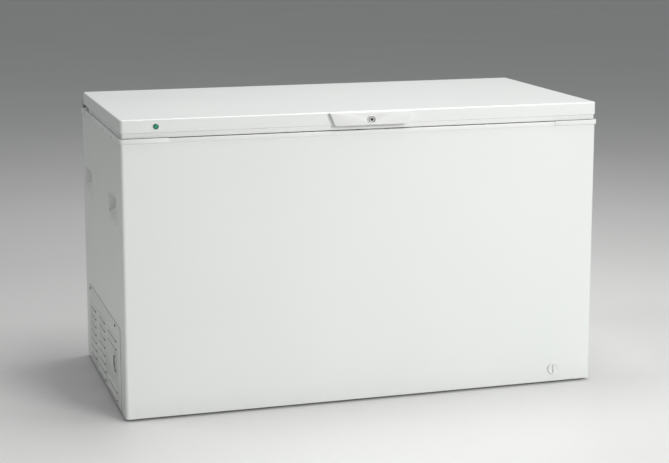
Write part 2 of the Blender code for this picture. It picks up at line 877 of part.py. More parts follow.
def make_control():
    """Make the temperature control: bezel cup, thermostat and knob."""
    centre = (KNOB_Y, KNOB_Z)
    bezel = solid(
        "control_bezel",
        "white_plastic",
        cylinder("X", centre, side_span(-1, HALF_W + GRILLE_T + GAP, BEZEL_X), BEZEL_R, 32),
    )
    join(bezel, cylinder("X", centre, side_span(-1, CUP_X, BEZEL_X - 0.0012), CUP_R, 32))
    cut(
        bezel,
        cylinder("X", centre, side_span(-1, CUP_X + 0.002, PAST_X), CUP_BORE_R, 32),
        cylinder("X", centre, side_span(-1, THERMOSTAT_X, PAST_X), SHAFT_BORE_R, 16),
    )
    body = solid(
        "thermostat_body",
        "zinc",
        box(
            side_span(-1, THERMOSTAT_X, CUP_X - GAP),
            (KNOB_Y - THERMOSTAT[0], KNOB_Y + THERMOSTAT[0]),
            (KNOB_Z - THERMOSTAT[1], KNOB_Z + THERMOSTAT[1]),
        ),
    )
    cut(body, cylinder("X", centre, side_span(-1, CUP_X - 0.009, PAST_X), SHAFT_BORE_R, 16))
    knob = solid(
        "thermostat_knob",
        "white_plastic",
        cylinder("X", centre, side_span(-1, *KNOB_X), KNOB_R, 32),
    )
    join(
        knob,
        box(
            side_span(-1, KNOB_X[1] - 0.0005, KNOB_BAR_X),
            (KNOB_Y - 0.0035, KNOB_Y + 0.0035),
            (KNOB_Z - 0.0190, KNOB_Z + 0.0190),
        ),
        cylinder("X", centre, side_span(-1, CUP_X - 0.0075, KNOB_X[0] + 0.001), SHAFT_R, 16),
    )
    axis = pivot("thermostat_axis", (-KNOB_X[0], KNOB_Y, KNOB_Z))
    hang(axis, knob)


def turned(name, finish, centre, profile, sides=28):
    """Make a round solid about a vertical line from (radius, height) points."""
    bm = bmesh.new()
    rings = []
    for radius, height in profile:
        outline = [
            (
                centre[0] + radius * math.cos(2 * math.pi * i / sides),
                centre[1] + radius * math.sin(2 * math.pi * i / sides),
            )
            for i in range(sides)
        ]
        rings.append((outline, height))
    loft(bm, rings)
    return make_object(name, finish, bm)


def make_compressor():
    """Make the compressor on its mount, with the relay, drier and its two lines."""
    cx, cy = COMPRESSOR
    turned("compressor", "black", COMPRESSOR, SHELL_PROFILE)
    mount = solid(
        "compressor_mount",
        "zinc",
        box(
            (cx - MOUNT_HALF[0], cx + MOUNT_HALF[0]),
            (cy - MOUNT_HALF[1], cy + MOUNT_HALF[1]),
            MOUNT_Z,
        ),
    )
    foot_z = (Z_CABINET + PAN_T + 2 * GAP, MOUNT_Z[0] + 0.0005)
    foot_x, foot_y = MOUNT_FOOT
    feet = [
        cylinder("Z", (cx + sx * foot_x, cy + sy * foot_y), foot_z, MOUNT_FOOT_R, 16)
        for sx in (-1, 1)
        for sy in (-1, 1)
    ]
    join(mount, *feet)
    solid(
        "start_relay",
        "black",
        box((cx - 0.026, cx + 0.026), (cy - 0.114, cy - 0.0815), (0.085, 0.145)),
    )
    turned("filter_drier", "copper", DRIER, DRIER_PROFILE, 12)
    discharge = [
        (cx + 0.0785, cy + 0.000, 0.090),
        (cx + 0.0900, cy + 0.000, 0.090),
        (cx + 0.0960, cy + 0.010, 0.085),
        (cx + 0.1000, cy + 0.060, 0.060),
        (cx + 0.1000, cy + 0.120, 0.050),
        (cx + 0.1000, cy + 0.137, 0.050),
        (cx + 0.1000, cy + 0.145, 0.0535),
        (cx + 0.1000, cy + 0.145, 0.0596),
    ]
    tube("discharge_line", "copper", discharge, 0.0028, 2)
    suction = [
        (cx - 0.020, cy + 0.0795, 0.150),
        (cx - 0.020, cy + 0.1050, 0.150),
        (cx - 0.014, cy + 0.1170, 0.153),
        (cx + 0.000, cy + 0.1300, 0.160),
        (cx + 0.030, cy + 0.1700, 0.200),
        (cx + 0.060, cy + 0.1950, 0.230),
        (cx + 0.090, cy + 0.2000, 0.238),
        (cx + 0.124, cy + 0.2000, 0.240),
    ]
    tube("suction_line", "copper", suction, 0.0040, 2)


def serpentine_points(x, z_rows, y, bend):
    """Return a flat back-and-forth route with rounded turns."""
    points = []
    for i, (low, high) in enumerate(zip(z_rows, z_rows[1:] + (None,))):
        forward = i % 2 == 0
        start, end = (x[0], x[1]) if forward else (x[1], x[0])
        points += [(start, y, low), (end, y, low)]
        if high is not None:
            out = bend if forward else -bend
            points.append((end + out * 0.7, y, low + (high - low) * 0.15))
            points.append((end + out, y, (low + high) / 2))
            points.append((end + out * 0.7, y, low + (high - low) * 0.85))
    return points


def make_coils():
    """Make the condenser tube behind the front sheet and the evaporator round the liner."""
    rows = tuple(CONDENSER_Z + CONDENSER_PITCH * i for i in range(CONDENSER_ROWS))
    middle = Y_FRONT + SHEET + SKIN_GAP / 2
    route = serpentine_points((-CONDENSER_X, CONDENSER_X), rows, middle, CONDENSER_BEND)
    tube("condenser_coil", "copper", route, CONDENSER_R, 1)

    reach_x = WELL_X + LINER_T + COIL_GAP / 2
    reach_y = WELL_Y + LINER_T + COIL_GAP / 2
    corner = rounded_rectangle(
        (-reach_x, reach_x), (-reach_y, reach_y), WELL_R + COIL_GAP / 2
    )
    low, high = EVAPORATOR_Z
    route = []
    total = EVAPORATOR_TURNS * len(corner)
    for i in range(total + 1):
        px, py = corner[i % len(corner)]
        route.append((px, py, low + (high - low) * i / total))
    tube("evaporator_coil", "copper", route, EVAPORATOR_R, 1)


def make_gland():
    """Make the cord's gland in the rear panel; it has a bore for the cord."""
    gland = solid(
        "cord_gland",
        "black",
        cylinder("Y", GLAND, (Y_REAR + GAP, Y_REAR + 0.0060), GLAND_HEAD_R, 20),
    )
    join(gland, cylinder("Y", GLAND, (Y_REAR - 0.006, Y_REAR + 0.001), GLAND_R, 20))
    cut(gland, cylinder("Y", GLAND, (Y_REAR - 0.02, PAST_Y), GLAND_BORE_R, 16))


# ---------------------------------------------------------------- drain
def make_drain():
    """Make the drain pipe, its cap on the front and the plug in the well."""
    centre = (DRAIN_X, DRAIN_Z)
    pipe_end = Y_FRONT + SHEET + GAP
    pipe = solid(
        "drain_tube",
        "white_plastic",
        cylinder("Y", centre, (pipe_end, DRAIN_Y + DRAIN_PIPE_R), DRAIN_PIPE_R),
    )
    place = (DRAIN_X, DRAIN_Y)
    top = WELL_FLOOR - LINER_T - GAP
    join(pipe, cylinder("Z", place, (DRAIN_Z, top), DRAIN_PIPE_R))
    cut(
        pipe,
        cylinder("Y", centre, (-PAST_Y, DRAIN_Y + 0.006), DRAIN_BORE_R),
        cylinder("Z", place, (DRAIN_Z, WELL_FLOOR + CORNER_R), DRAIN_BORE_R),
    )

    cap = solid(
        "drain_cap",
        "white_plastic",
        cylinder("Y", centre, (Y_FRONT - CAP_OUT, Y_FRONT - GAP), DRAIN_CAP_R, 32),
    )
    join(
        cap,
        cylinder("Y", centre, (Y_FRONT - 0.001, Y_FRONT + 0.014), DRAIN_BORE_R - 0.0005, 20),
        box(
            (DRAIN_X - CAP_BAR[0], DRAIN_X + CAP_BAR[0]),
            (Y_FRONT - 0.0080, Y_FRONT - 0.0040),
            (DRAIN_Z - CAP_BAR[1], DRAIN_Z + CAP_BAR[1]),
        ),
    )
    hang(pivot("drain_cap_axis", (DRAIN_X, Y_FRONT, DRAIN_Z)), cap)

    plug = solid(
        "drain_plug",
        "rubber",
        cylinder("Z", place, (WELL_FLOOR + GAP, WELL_FLOOR + 0.004), PLUG_HEAD_R, 20),
    )
    join(
        plug,
        cylinder("Z", place, (WELL_FLOOR - 0.0135, WELL_FLOOR + 0.001), DRAIN_BORE_R - 0.0004, 20),
        cylinder("Z", place, (WELL_FLOOR + 0.003, WELL_FLOOR + 0.012), PLUG_KNOB_R, 16),
    )
    hang(pivot("drain_plug_axis", (DRAIN_X, DRAIN_Y, WELL_FLOOR)), plug)


# ---------------------------------------------------------------- baskets
def make_basket(name, middle):
    """Make one lattice basket with hooks that hang on the collar."""
    nx, ny, nz = BASKET_CELLS
    width = 2 * BASKET_HALF_X / nx
    length = 2 * BASKET_HALF_Y / ny
    height = (BASKET_Z[1] - BASKET_Z[0]) / nz
    bm = bmesh.new()
    corners = {}

    def vert(i, j, k):
        if (i, j, k) not in corners:
            place = (
                middle - BASKET_HALF_X + width * i,
                -BASKET_HALF_Y + length * j,
                BASKET_Z[0] + height * k,
            )
            corners[(i, j, k)] = bm.verts.new(place)
        return corners[(i, j, k)]

    for i in range(nx):
        for j in range(ny):
            bm.faces.new(
                (vert(i, j, 0), vert(i, j + 1, 0), vert(i + 1, j + 1, 0), vert(i + 1, j, 0))
            )
    for k in range(nz):
        for i in range(nx):
            for j in (0, ny):
                bm.faces.new(
                    (vert(i, j, k), vert(i + 1, j, k), vert(i + 1, j, k + 1), vert(i, j, k + 1))
                )
        for j in range(ny):
            for i in (0, nx):
                bm.faces.new(
                    (vert(i, j, k), vert(i, j + 1, k), vert(i, j + 1, k + 1), vert(i, j, k + 1))
                )
    hook_i = nx // 2
    for j, sign in ((0, -1), (ny, 1)):
        row = (vert(hook_i, j, nz), vert(hook_i + 1, j, nz))
        for reach, level in HOOK_ROUTE:
            following = tuple(
                bm.verts.new((one.co.x, sign * reach, level)) for one in row
            )
            bm.faces.new((row[0], row[1], following[1], following[0]))
            row = following
    basket = make_object(name, "enamel", bm)
    wires = basket.modifiers.new("wires", "WIREFRAME")
    wires.thickness = BASKET_WIRE
    wires.offset = 0.0
    wires.use_boundary = True
    wires.use_replace = True
    wires.use_even_offset = True
    hang(pivot(name + "_axis", (middle, 0.0, BASKET_Z[1])), basket)


# ---------------------------------------------------------------- hinges
def make_hinge(side, name, lid_axis):
    """Make one hinge: base and pin on the cabinet, arm on the lid."""
    axle = (HINGE_Y, HINGE_Z)
    inner = ARM_X0 - EAR_ROOM - EAR_T
    outer = ARM_X1 + EAR_ROOM + EAR_T
    base = solid(
        "hinge_base_" + name,
        "zinc",
        box(side_span(side, inner, outer), HINGE_PLATE, (HINGE_BEND[0] + 0.002, HINGE_Z_SPAN[1])),
    )
    parts = [
        box(side_span(side, inner, outer), (HINGE_FOOT[0], HINGE_PLATE[1]), HINGE_BEND),
        box(side_span(side, inner, outer), HINGE_FOOT, (HINGE_Z_SPAN[0], HINGE_BEND[0] + 0.004)),
    ]
    for x0 in (inner, outer - EAR_T):
        ear = side_span(side, x0, x0 + EAR_T)
        ear_z = (HINGE_Z - KNUCKLE_R, HINGE_Z + KNUCKLE_R)
        parts.append(box(ear, (HINGE_Y, HINGE_PLATE[0] + 0.0012), ear_z))
        parts.append(cylinder("X", axle, ear, KNUCKLE_R))
    join(base, *parts)
    cut(base, cylinder("X", axle, (-PAST_X, PAST_X), BORE_R))

    solid(
        "hinge_pin_" + name,
        "zinc",
        cylinder("X", axle, side_span(side, inner - 0.001, outer + 0.001), PIN_R),
    )

    arm = solid(
        "hinge_arm_" + name,
        "zinc",
        box(side_span(side, ARM_X0, ARM_X1), (ARM_Y0, 0.350), (ARM_Z0, Z_SHELL - GAP)),
    )
    barrel = side_span(side, ARM_X0, ARM_BARREL_X1)
    join(
        arm,
        box(barrel, (0.348, HINGE_Y), (ARM_Z0, Z_SHELL - GAP)),
        cylinder("X", axle, barrel, KNUCKLE_R),
    )
    cut(arm, cylinder("X", axle, (-PAST_X, PAST_X), BORE_R))
    hang(lid_axis, arm)


# ---------------------------------------------------------------- lid
def make_lid_shell():
    """Make the painted metal pan of the lid."""
    bm = bmesh.new()
    loft(
        bm,
        [
            lid_ring(0.0040, Z_TOP),
            lid_ring(0.0012, Z_TOP - 0.0012),
            lid_ring(0.0, Z_TOP - 0.0040),
            lid_ring(0.0, Z_SHELL),
            lid_ring(SHEET, Z_SHELL),
            lid_ring(SHEET, Z_TOP - 0.0042),
            lid_ring(0.0019, Z_TOP - 0.0019),
            lid_ring(0.0044, Z_TOP - SHEET),
        ],
    )
    shell = make_object("lid_shell", "enamel", bm)
    through = (-PAST_Y, Y_FRONT + 0.004)
    span = (HANDLE_X[0] - 0.001, HANDLE_X[1] + 0.001)
    cut(
        shell,
        box(span, through, (HOUSING_Z[0] - GAP, HOUSING_Z[1] + 0.0005)),
        cylinder("Y", (LIGHT_X, LIGHT_Z), through, LIGHT_R + GAP, 28),
    )
    return shell


def make_lid_panel():
    """Make the formed inner panel, a flat land with a plug, and the lip round it."""
    flange = Z_SHELL + 0.0005
    land = flange + PANEL_T
    bm = bmesh.new()
    loft(
        bm,
        [
            plug_ring(0.0200, PLUG_Z),
            plug_ring(0.0080, PLUG_Z + 0.0030),
            plug_ring(0.0, flange),
            lid_ring(0.0012, flange),
            lid_ring(0.0012, land),
            plug_ring(PANEL_T, land),
            plug_ring(0.0100, PLUG_Z + 0.0030 + PANEL_T),
            plug_ring(0.0215, PLUG_Z + PANEL_T),
        ],
    )
    panel = make_object("lid_inner_panel", "white_plastic", bm)
    cut(panel, box((-0.006, 0.0545), (CAM_SLOT_Y[0], LIGHT_BACK - 0.0005), (HINGE_Z, LOCK_Z)))

    top = flange - GAP
    bm = bmesh.new()
    loft(
        bm,
        [
            lid_ring(LIP_INSET, Z_LIP),
            lid_ring(LIP_INSET, top),
            lid_ring(LIP_INSET + LIP_T, top),
            lid_ring(LIP_INSET + LIP_T, Z_LIP),
        ],
        closed=True,
    )
    lip = make_object("lid_lip", "white_plastic", bm)
    cut(lip, box((-HALF_W, HALF_W), (LIP_END, HALF_W), (0.0, Z_TOP)))
    return panel, lip


def make_lid_foam():
    """Make the insulation inside the lid."""
    base = Z_SHELL + 0.0030
    bm = bmesh.new()
    loft(
        bm,
        [
            plug_ring(0.0218, PLUG_Z + PANEL_T + GAP),
            plug_ring(0.0104, PLUG_Z + 0.0034 + PANEL_T),
            plug_ring(0.0026, base),
            lid_ring(0.0015, base),
            lid_ring(0.0015, Z_TOP - 0.0050),
            lid_ring(0.0052, Z_TOP - 0.0014),
        ],
    )
    foam = make_object("lid_foam", "foam", bm)
    span = (HANDLE_X[0] - 0.001, HANDLE_X[1] + 0.001)
    cut(
        foam,
        box(span, (-PAST_Y, HANDLE_BACK + 0.0005), (HINGE_Z, HOUSING_Z[1] + 0.0010)),
        box((-0.012, 0.060), (-0.3540, -0.3455), (HINGE_Z, HOUSING_Z[1] - 0.0010)),
        cylinder("Y", (LIGHT_X, LIGHT_Z), (-PAST_Y, LIGHT_BACK + 0.001), LIGHT_R + 2 * GAP, 20),
    )
    return foam


def make_gasket():
    """Make the soft seal that hangs under the lid."""

    def ring(inset, height):
        x = (-GASKET_X + inset, GASKET_X - inset)
        y = (GASKET_FRONT + inset, GASKET_REAR - inset)
        return rounded_rectangle(x, y, GASKET_R - inset), height

    top = Z_SHELL + 0.0002
    middle = (top + Z_COLLAR_TOP) / 2
    bottom = Z_COLLAR_TOP + GAP
    bm = bmesh.new()
    loft(
        bm,
        [
            ring(0.0, top),
            ring(GASKET_WAIST, middle),
            ring(0.0, bottom),
            ring(GASKET_W, bottom),
            ring(GASKET_W - GASKET_WAIST, middle),
            ring(GASKET_W, top),
        ],
        closed=True,
    )
    return make_object("lid_gasket", "gasket", bm)


def handle_outline():
    """Return the handle's face: a wide trapezoid whose top edge bows up a little."""
    top_y = Z_TOP - 0.0010
    bow = 0.0010
    points = [(HANDLE_BOTTOM[0], HANDLE_Z0), (HANDLE_BOTTOM[1], HANDLE_Z0)]
    steps = 6
    for i in range(steps + 1):
        t = i / steps
        x = HANDLE_TOP[1] + (HANDLE_TOP[0] - HANDLE_TOP[1]) * t
        points.append((x, top_y - bow + bow * math.sin(math.pi * t)))
    return points


def make_handle():
    """Make the pull handle and the housing behind it, with finger room beside the lock."""
    front = Y_FRONT - HANDLE_OUT
    back = Y_FRONT - GAP
    bore = cylinder("Y", (LOCK_X, LOCK_Z), (-PAST_Y, LIGHT_BACK), LOCK_R + GAP, 28)
    handle = solid("lid_handle", "white_plastic", prism("Y", handle_outline(), (front, back)))
    housing = solid(
        "handle_housing",
        "white_plastic",
        box(HANDLE_X, (Y_FRONT, HANDLE_BACK), HOUSING_Z),
    )
    cavity_z = (HOUSING_Z[0] + HOUSING_T, POCKET_TOP)
    for span in HANDLE_POCKETS:
        cut(handle, box(span, (front + HANDLE_WALL, Y_FRONT), (HANDLE_Z0 - 0.01, POCKET_TOP)))
        cut(housing, box(span, (Y_FRONT - 0.01, HANDLE_BACK - HOUSING_T), cavity_z))
    cut(handle, bore)
    cut(housing, bore)
    return handle, housing


def make_lock(lid_axis):
    """Make the lock: a ring on the handle, the barrel and the hooked cam."""
    front = Y_FRONT - HANDLE_OUT
    centre = (LOCK_X, LOCK_Z)
    ring = solid(
        "lock_escutcheon",
        "chrome",
        cylinder("Y", centre, (front - 0.0025, front - GAP), ESCUTCHEON_R, 32),
    )
    cut(ring, cylinder("Y", centre, (-PAST_Y, Y_FRONT), LOCK_R + GAP, 32))

    barrel = solid(
        "lock_barrel",
        "chrome",
        cylinder("Y", centre, (front - LOCK_PROUD, CAM_Y0 - GAP), LOCK_R, 28),
    )
    key_x = (LOCK_X - KEY_SLOT[0], LOCK_X + KEY_SLOT[0])
    key_z = (LOCK_Z - KEY_SLOT[1], LOCK_Z + KEY_SLOT[1])
    cut(barrel, box(key_x, (-PAST_Y, front + 0.006), key_z))

    outline = [
        (LOCK_X, LOCK_Z + CAM_HALF),
        (LOCK_X, LOCK_Z - CAM_HALF),
        (LOCK_X + CAM_LENGTH - CAM_NECK, LOCK_Z - CAM_HALF),
        (LOCK_X + CAM_LENGTH - CAM_NECK, LOCK_Z - CAM_TOE),
        (LOCK_X + CAM_LENGTH, LOCK_Z - CAM_TOE),
        (LOCK_X + CAM_LENGTH, LOCK_Z + CAM_HALF),
    ]
    thick = (CAM_Y0, CAM_Y0 + CAM_T)
    cam = solid("lock_cam", "zinc", prism("Y", outline, thick))
    join(cam, cylinder("Y", centre, thick, 0.0085, 20))
    lock_axis = pivot("lock_axis", (LOCK_X, front, LOCK_Z))
    hang(lock_axis, barrel, cam)
    hang(lid_axis, lock_axis)
    return ring


def make_lights():
    """Make the power light on the lid's front and the lamp under the lid."""
    centre = (LIGHT_X, LIGHT_Z)
    lens = solid(
        "indicator_lens",
        "green_lens",
        cylinder("Y", centre, (Y_FRONT - 0.0018, Y_FRONT + 0.0040), LIGHT_R, 28),
    )
    housing = solid(
        "indicator_housing",
        "black",
        cylinder("Y", centre, (Y_FRONT + 0.0040 + GAP, LIGHT_BACK), LIGHT_R, 20),
    )
    span_x = (-LAMP_X, LAMP_X)
    lamp = solid("lamp_housing", "white_plastic", box(span_x, LAMP_Y, LAMP_Z[1:]))
    hollow_x = (-LAMP_X + LAMP_WALL, LAMP_X - LAMP_WALL)
    hollow_y = (LAMP_Y[0] + LAMP_WALL, LAMP_Y[1] - LAMP_WALL)
    cut(lamp, box(hollow_x, hollow_y, (LAMP_Z[0], LAMP_Z[2] - 0.002)))
    cover = solid(
        "lamp_lens",
        "clear_lens",
        box(span_x, LAMP_Y, (LAMP_Z[0], LAMP_Z[1] - GAP)),
    )
    return lens, housing, lamp, cover


def make_lid():
    """Make everything that swings with the lid, and both hinges."""
    lid_axis = pivot("lid_axis", (0.0, HINGE_Y, HINGE_Z))
    pieces = [make_lid_shell(), make_lid_foam(), make_gasket(), make_lock(lid_axis)]
    pieces += make_lid_panel()
    pieces += make_handle()
    pieces += make_lights()
    hang(lid_axis, *pieces)
    make_hinge(-1, "left", lid_axis)
    make_hinge(1, "right", lid_axis)


def main():
    """Build the whole freezer."""
    clear_scene()
    make_cabinet()
    make_grips()
    make_glides()
    make_grille()
    make_control()
    make_compressor()
    make_coils()
    make_gland()
    make_drain()
    make_basket("basket_left", -BASKET_X)
    make_basket("basket_right", BASKET_X)
    make_lid()


main()
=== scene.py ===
"""Looks of a chest freezer: its finishes, its finely made pieces, the light and the camera."""

import logging
import math
from collections.abc import Callable, Sequence
from dataclasses import dataclass, field
from enum import Enum

import bmesh
import bpy
from mathutils import Matrix, Vector


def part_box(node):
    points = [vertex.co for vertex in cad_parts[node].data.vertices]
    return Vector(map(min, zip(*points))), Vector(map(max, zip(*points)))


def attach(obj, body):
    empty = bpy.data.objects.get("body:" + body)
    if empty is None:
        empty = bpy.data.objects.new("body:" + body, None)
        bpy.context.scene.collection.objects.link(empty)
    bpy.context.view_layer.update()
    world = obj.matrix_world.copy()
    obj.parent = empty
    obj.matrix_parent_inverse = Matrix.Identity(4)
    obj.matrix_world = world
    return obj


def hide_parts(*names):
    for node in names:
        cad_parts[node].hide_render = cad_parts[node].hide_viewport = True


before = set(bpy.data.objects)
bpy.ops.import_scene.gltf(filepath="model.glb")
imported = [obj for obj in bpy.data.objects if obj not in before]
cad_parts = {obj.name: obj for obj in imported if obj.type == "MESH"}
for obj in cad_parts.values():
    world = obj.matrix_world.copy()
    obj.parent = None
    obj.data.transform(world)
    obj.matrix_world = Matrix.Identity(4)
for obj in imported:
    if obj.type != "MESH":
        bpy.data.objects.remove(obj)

log = logging.getLogger("freezer")
Outline = list[tuple[float, float]]
Point = tuple[float, float, float]
Span = tuple[float, float]
MM = 0.001


class Slot(Enum):
    """The record's material slots."""

    ENAMEL = "enamel"
    PLASTIC = "white_plastic"
    LINER = "liner"
    FOAM = "foam"
    ZINC = "zinc"
    CHROME = "chrome"
    COPPER = "copper"
    BLACK_ENAMEL = "black_enamel"
    BLACK_PLASTIC = "black_plastic"
    RUBBER = "rubber"
    GASKET = "gasket"
    GREEN = "green_lens"
    CLEAR = "clear_lens"


# ------------------------------------------------------------------ materials
def linear(code: str) -> tuple[float, float, float, float]:
    """Turn an sRGB hex colour to linear.

    Args:
        code: Six hex digits.

    Returns:
        Linear red, green, blue and an alpha of one.
    """
    parts = [int(code[i : i + 2], 16) / 255 for i in (0, 2, 4)]
    bent = [c / 12.92 if c <= 0.04045 else ((c + 0.055) / 1.055) ** 2.4 for c in parts]
    return (bent[0], bent[1], bent[2], 1.0)


def add_node(
    tree: bpy.types.NodeTree,
    kind: str,
    settings: dict | None = None,
    links: dict | None = None,
) -> bpy.types.Node:
    """Add a node with its settings and links.

    Args:
        tree: The node tree.
        kind: The node's type name.
        settings: Properties, or default values of inputs, by name or number.
        links: Output sockets by the name or number of the input they feed.

    Returns:
        The new node.
    """
    node = tree.nodes.new(kind)
    for key, value in (settings or {}).items():
        if isinstance(key, str) and hasattr(node, key):
            setattr(node, key, value)
        else:
            node.inputs[key].default_value = value
    for key, source in (links or {}).items():
        tree.links.new(source, node.inputs[key])
    return node


@dataclass(frozen=True)
class Finish:
    """A surface: its colour, its shine and the relief that its making left.

    Lengths are in millimetres. Grain is the fine relief, wave the long one.
    """

    name: str
    slot: Slot
    colour: str
    shade: str
    tone_mm: float = 180.0
    roughness: float = 0.4
    swing: float = 0.05
    metallic: float = 0.0
    ior: float = 1.5
    grain_mm: float = 1.0
    grain_um: float = 10.0
    wave_mm: float = 0.0
    wave_um: float = 0.0
    stretch: Point = (1.0, 1.0, 1.0)
    coat: float = 0.0
    grime: float = 0.0

    def material(self) -> bpy.types.Material:
        """Return the finish's material, made on its first use."""
        made = bpy.data.materials.get(self.name)
        if made is None:
            made = bpy.data.materials.new(self.name)
            made.use_nodes = True
            made.node_tree.nodes.clear()
            self.dress(made.node_tree)
        return made

    def coordinates(self, tree: bpy.types.NodeTree) -> bpy.types.NodeSocket:
        """Return object coordinates, stretched along the grain."""
        place = add_node(tree, "ShaderNodeTexCoord")
        mapping = add_node(
            tree,
            "ShaderNodeMapping",
            {"Scale": self.stretch},
            {"Vector": place.outputs["Object"]},
        )
        return mapping.outputs["Vector"]

    def noise(
        self, tree: bpy.types.NodeTree, where: bpy.types.NodeSocket, size_mm: float, detail: float
    ) -> bpy.types.NodeSocket:
        """Return a noise pattern of one size.

        Args:
            tree: The node tree.
            where: The coordinates.
            size_mm: The size of its blotches.
            detail: How many finer layers it has.

        Returns:
            The noise's factor.
        """
        node = add_node(
            tree,
            "ShaderNodeTexNoise",
            {"Scale": 1000 / size_mm, "Detail": detail, "Roughness": 0.55},
            {"Vector": where},
        )
        return node.outputs["Fac"]

    def tint(self, tree: bpy.types.NodeTree, where: bpy.types.NodeSocket) -> bpy.types.NodeSocket:
        """Return the colour: two near tones in soft blotches, with grime near the floor."""
        blotch = self.noise(tree, where, self.tone_mm, 1.0)
        tone = add_node(
            tree,
            "ShaderNodeMapRange",
            {"From Min": 0.2, "From Max": 0.8},
            {"Value": blotch},
        )
        colour = add_node(
            tree,
            "ShaderNodeMix",
            {"data_type": "RGBA", 6: linear(self.colour), 7: linear(self.shade)},
            {"Factor": tone.outputs["Result"]},
        ).outputs[2]
        if self.grime == 0.0:
            return colour
        place = add_node(tree, "ShaderNodeTexCoord")
        parts = add_node(tree, "ShaderNodeSeparateXYZ", None, {0: place.outputs["Object"]})
        low = add_node(
            tree,
            "ShaderNodeMapRange",
            {"From Min": 0.070, "From Max": 0.004, "To Max": self.grime},
            {"Value": parts.outputs["Z"]},
        )
        patch = add_node(
            tree,
            "ShaderNodeMath",
            {"operation": "MULTIPLY"},
            {0: low.outputs["Result"], 1: self.noise(tree, where, 30.0, 5.0)},
        )
        return add_node(
            tree,
            "ShaderNodeMix",
            {"data_type": "RGBA", 7: linear("8C887F")},
            {"Factor": patch.outputs[0], 6: colour},
        ).outputs[2]

    def relief(self, tree: bpy.types.NodeTree, where: bpy.types.NodeSocket) -> bpy.types.NodeSocket:
        """Return the surface normal with the grain and the long wave."""
        bump = add_node(
            tree,
            "ShaderNodeBump",
            {"Strength": 1.0, "Distance": self.grain_um * 1e-6},
            {"Height": self.noise(tree, where, self.grain_mm, 2.0)},
        )
        if self.wave_um:
            long_wave = add_node(
                tree,
                "ShaderNodeBump",
                {"Strength": 1.0, "Distance": self.wave_um * 1e-6},
                {"Height": self.noise(tree, where, self.wave_mm, 0.0), "Normal": bump.outputs[0]},
            )
            return long_wave.outputs[0]
        return bump.outputs[0]

    def dress(self, tree: bpy.types.NodeTree) -> None:
        """Fill a material's tree."""
        where = self.coordinates(tree)
        smear = add_node(
            tree,
            "ShaderNodeMapRange",
            {
                "From Min": 0.15,
                "From Max": 0.85,
                "To Min": max(self.roughness - self.swing, 0.02),
                "To Max": min(self.roughness + self.swing, 1.0),
            },
            {"Value": self.noise(tree, where, self.tone_mm * 0.7, 1.0)},
        )
        shader = add_node(
            tree,
            "ShaderNodeBsdfPrincipled",
            {
                "Metallic": self.metallic,
                "IOR": self.ior,
                "Coat Weight": self.coat,
                "Coat Roughness": 0.12,
            },
            {
                "Base Color": self.tint(tree, where),
                "Roughness": smear.outputs["Result"],
                "Normal": self.relief(tree, where),
            },
        )
        self.glow(shader)
        add_node(tree, "ShaderNodeOutputMaterial", None, {"Surface": shader.outputs[0]})

    def glow(self, shader: bpy.types.Node) -> None:
        """Set what only lenses have; a plain finish has nothing."""


@dataclass(frozen=True)
class StuccoFinish(Finish):
    """Rolled aluminium sheet with a hammered pattern under white lacquer."""

    cell_mm: float = 7.0
    cell_um: float = 120.0

    def relief(self, tree: bpy.types.NodeTree, where: bpy.types.NodeSocket) -> bpy.types.NodeSocket:
        """Return the normal of rounded dimples in an even, irregular net."""
        cells = add_node(
            tree,
            "ShaderNodeTexVoronoi",
            {"Scale": 1000 / self.cell_mm, "feature": "SMOOTH_F1", "Smoothness": 0.6},
            {"Vector": where},
        )
        fine = super().relief(tree, where)
        bump = add_node(
            tree,
            "ShaderNodeBump",
            {"Strength": 1.0, "Distance": self.cell_um * 1e-6},
            {"Height": cells.outputs["Distance"], "Normal": fine},
        )
        return bump.outputs[0]


@dataclass(frozen=True)
class LensFinish(Finish):
    """Clear or dyed acrylic, lit from behind or not, and dimmer towards its rim: a painted glow in the
    middle and painted shade at the rim.
    """

    through: float = 0.4
    light: float = 0.0
    # The node whose middle holds the painted glow; the colour darkens to painted shade towards its rim.
    painted_glow_of: str = ""

    def tint(self, tree: bpy.types.NodeTree, where: bpy.types.NodeSocket) -> bpy.types.NodeSocket:
        """Return the colour, from the first tone in the middle to the second at the rim: a painted glow
        fading to painted shade.
        """
        if not self.painted_glow_of:
            return super().tint(tree, where)
        low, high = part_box(self.painted_glow_of)
        hub = (low + high) / 2
        reach = (high.x - low.x) / 2
        place = add_node(tree, "ShaderNodeTexCoord")
        away = add_node(
            tree,
            "ShaderNodeVectorMath",
            {"operation": "DISTANCE", 1: (hub.x, low.y, hub.z)},
            {0: place.outputs["Object"]},
        )
        ring = add_node(
            tree,
            "ShaderNodeMapRange",
            {"From Min": reach * 0.35, "From Max": reach * 0.9, "interpolation_type": "SMOOTHSTEP"},
            {"Value": away.outputs["Value"]},
        )
        return add_node(
            tree,
            "ShaderNodeMix",
            {"data_type": "RGBA", 6: linear(self.colour), 7: linear(self.shade)},
            {"Factor": ring.outputs["Result"]},
        ).outputs[2]

    def glow(self, shader: bpy.types.Node) -> None:
        """Let light through, and give it off."""
        shader.inputs["Transmission Weight"].default_value = self.through
        shader.inputs["Emission Color"].default_value = linear(self.colour)
        shader.inputs["Emission Strength"].default_value = self.light


# Baked polyester enamel on steel sheet: smooth, with orange peel and a faint wave in the sheet.
ENAMEL = Finish(
    "baked_enamel", Slot.ENAMEL, "EEF0ED", "EBEEEB", 420.0, 0.34, 0.015,
    grain_mm=2.4, grain_um=7.0, wave_mm=260.0, wave_um=500.0, coat=0.2, grime=0.10,
)
# The same enamel on the louvred cover, sprayed a little thinner.
ENAMEL_COVER = Finish(
    "baked_enamel_cover", Slot.ENAMEL, "ECEDEA", "E6E8E5", 120.0, 0.38, 0.05,
    grain_mm=2.0, grain_um=10.0, grime=0.15,
)
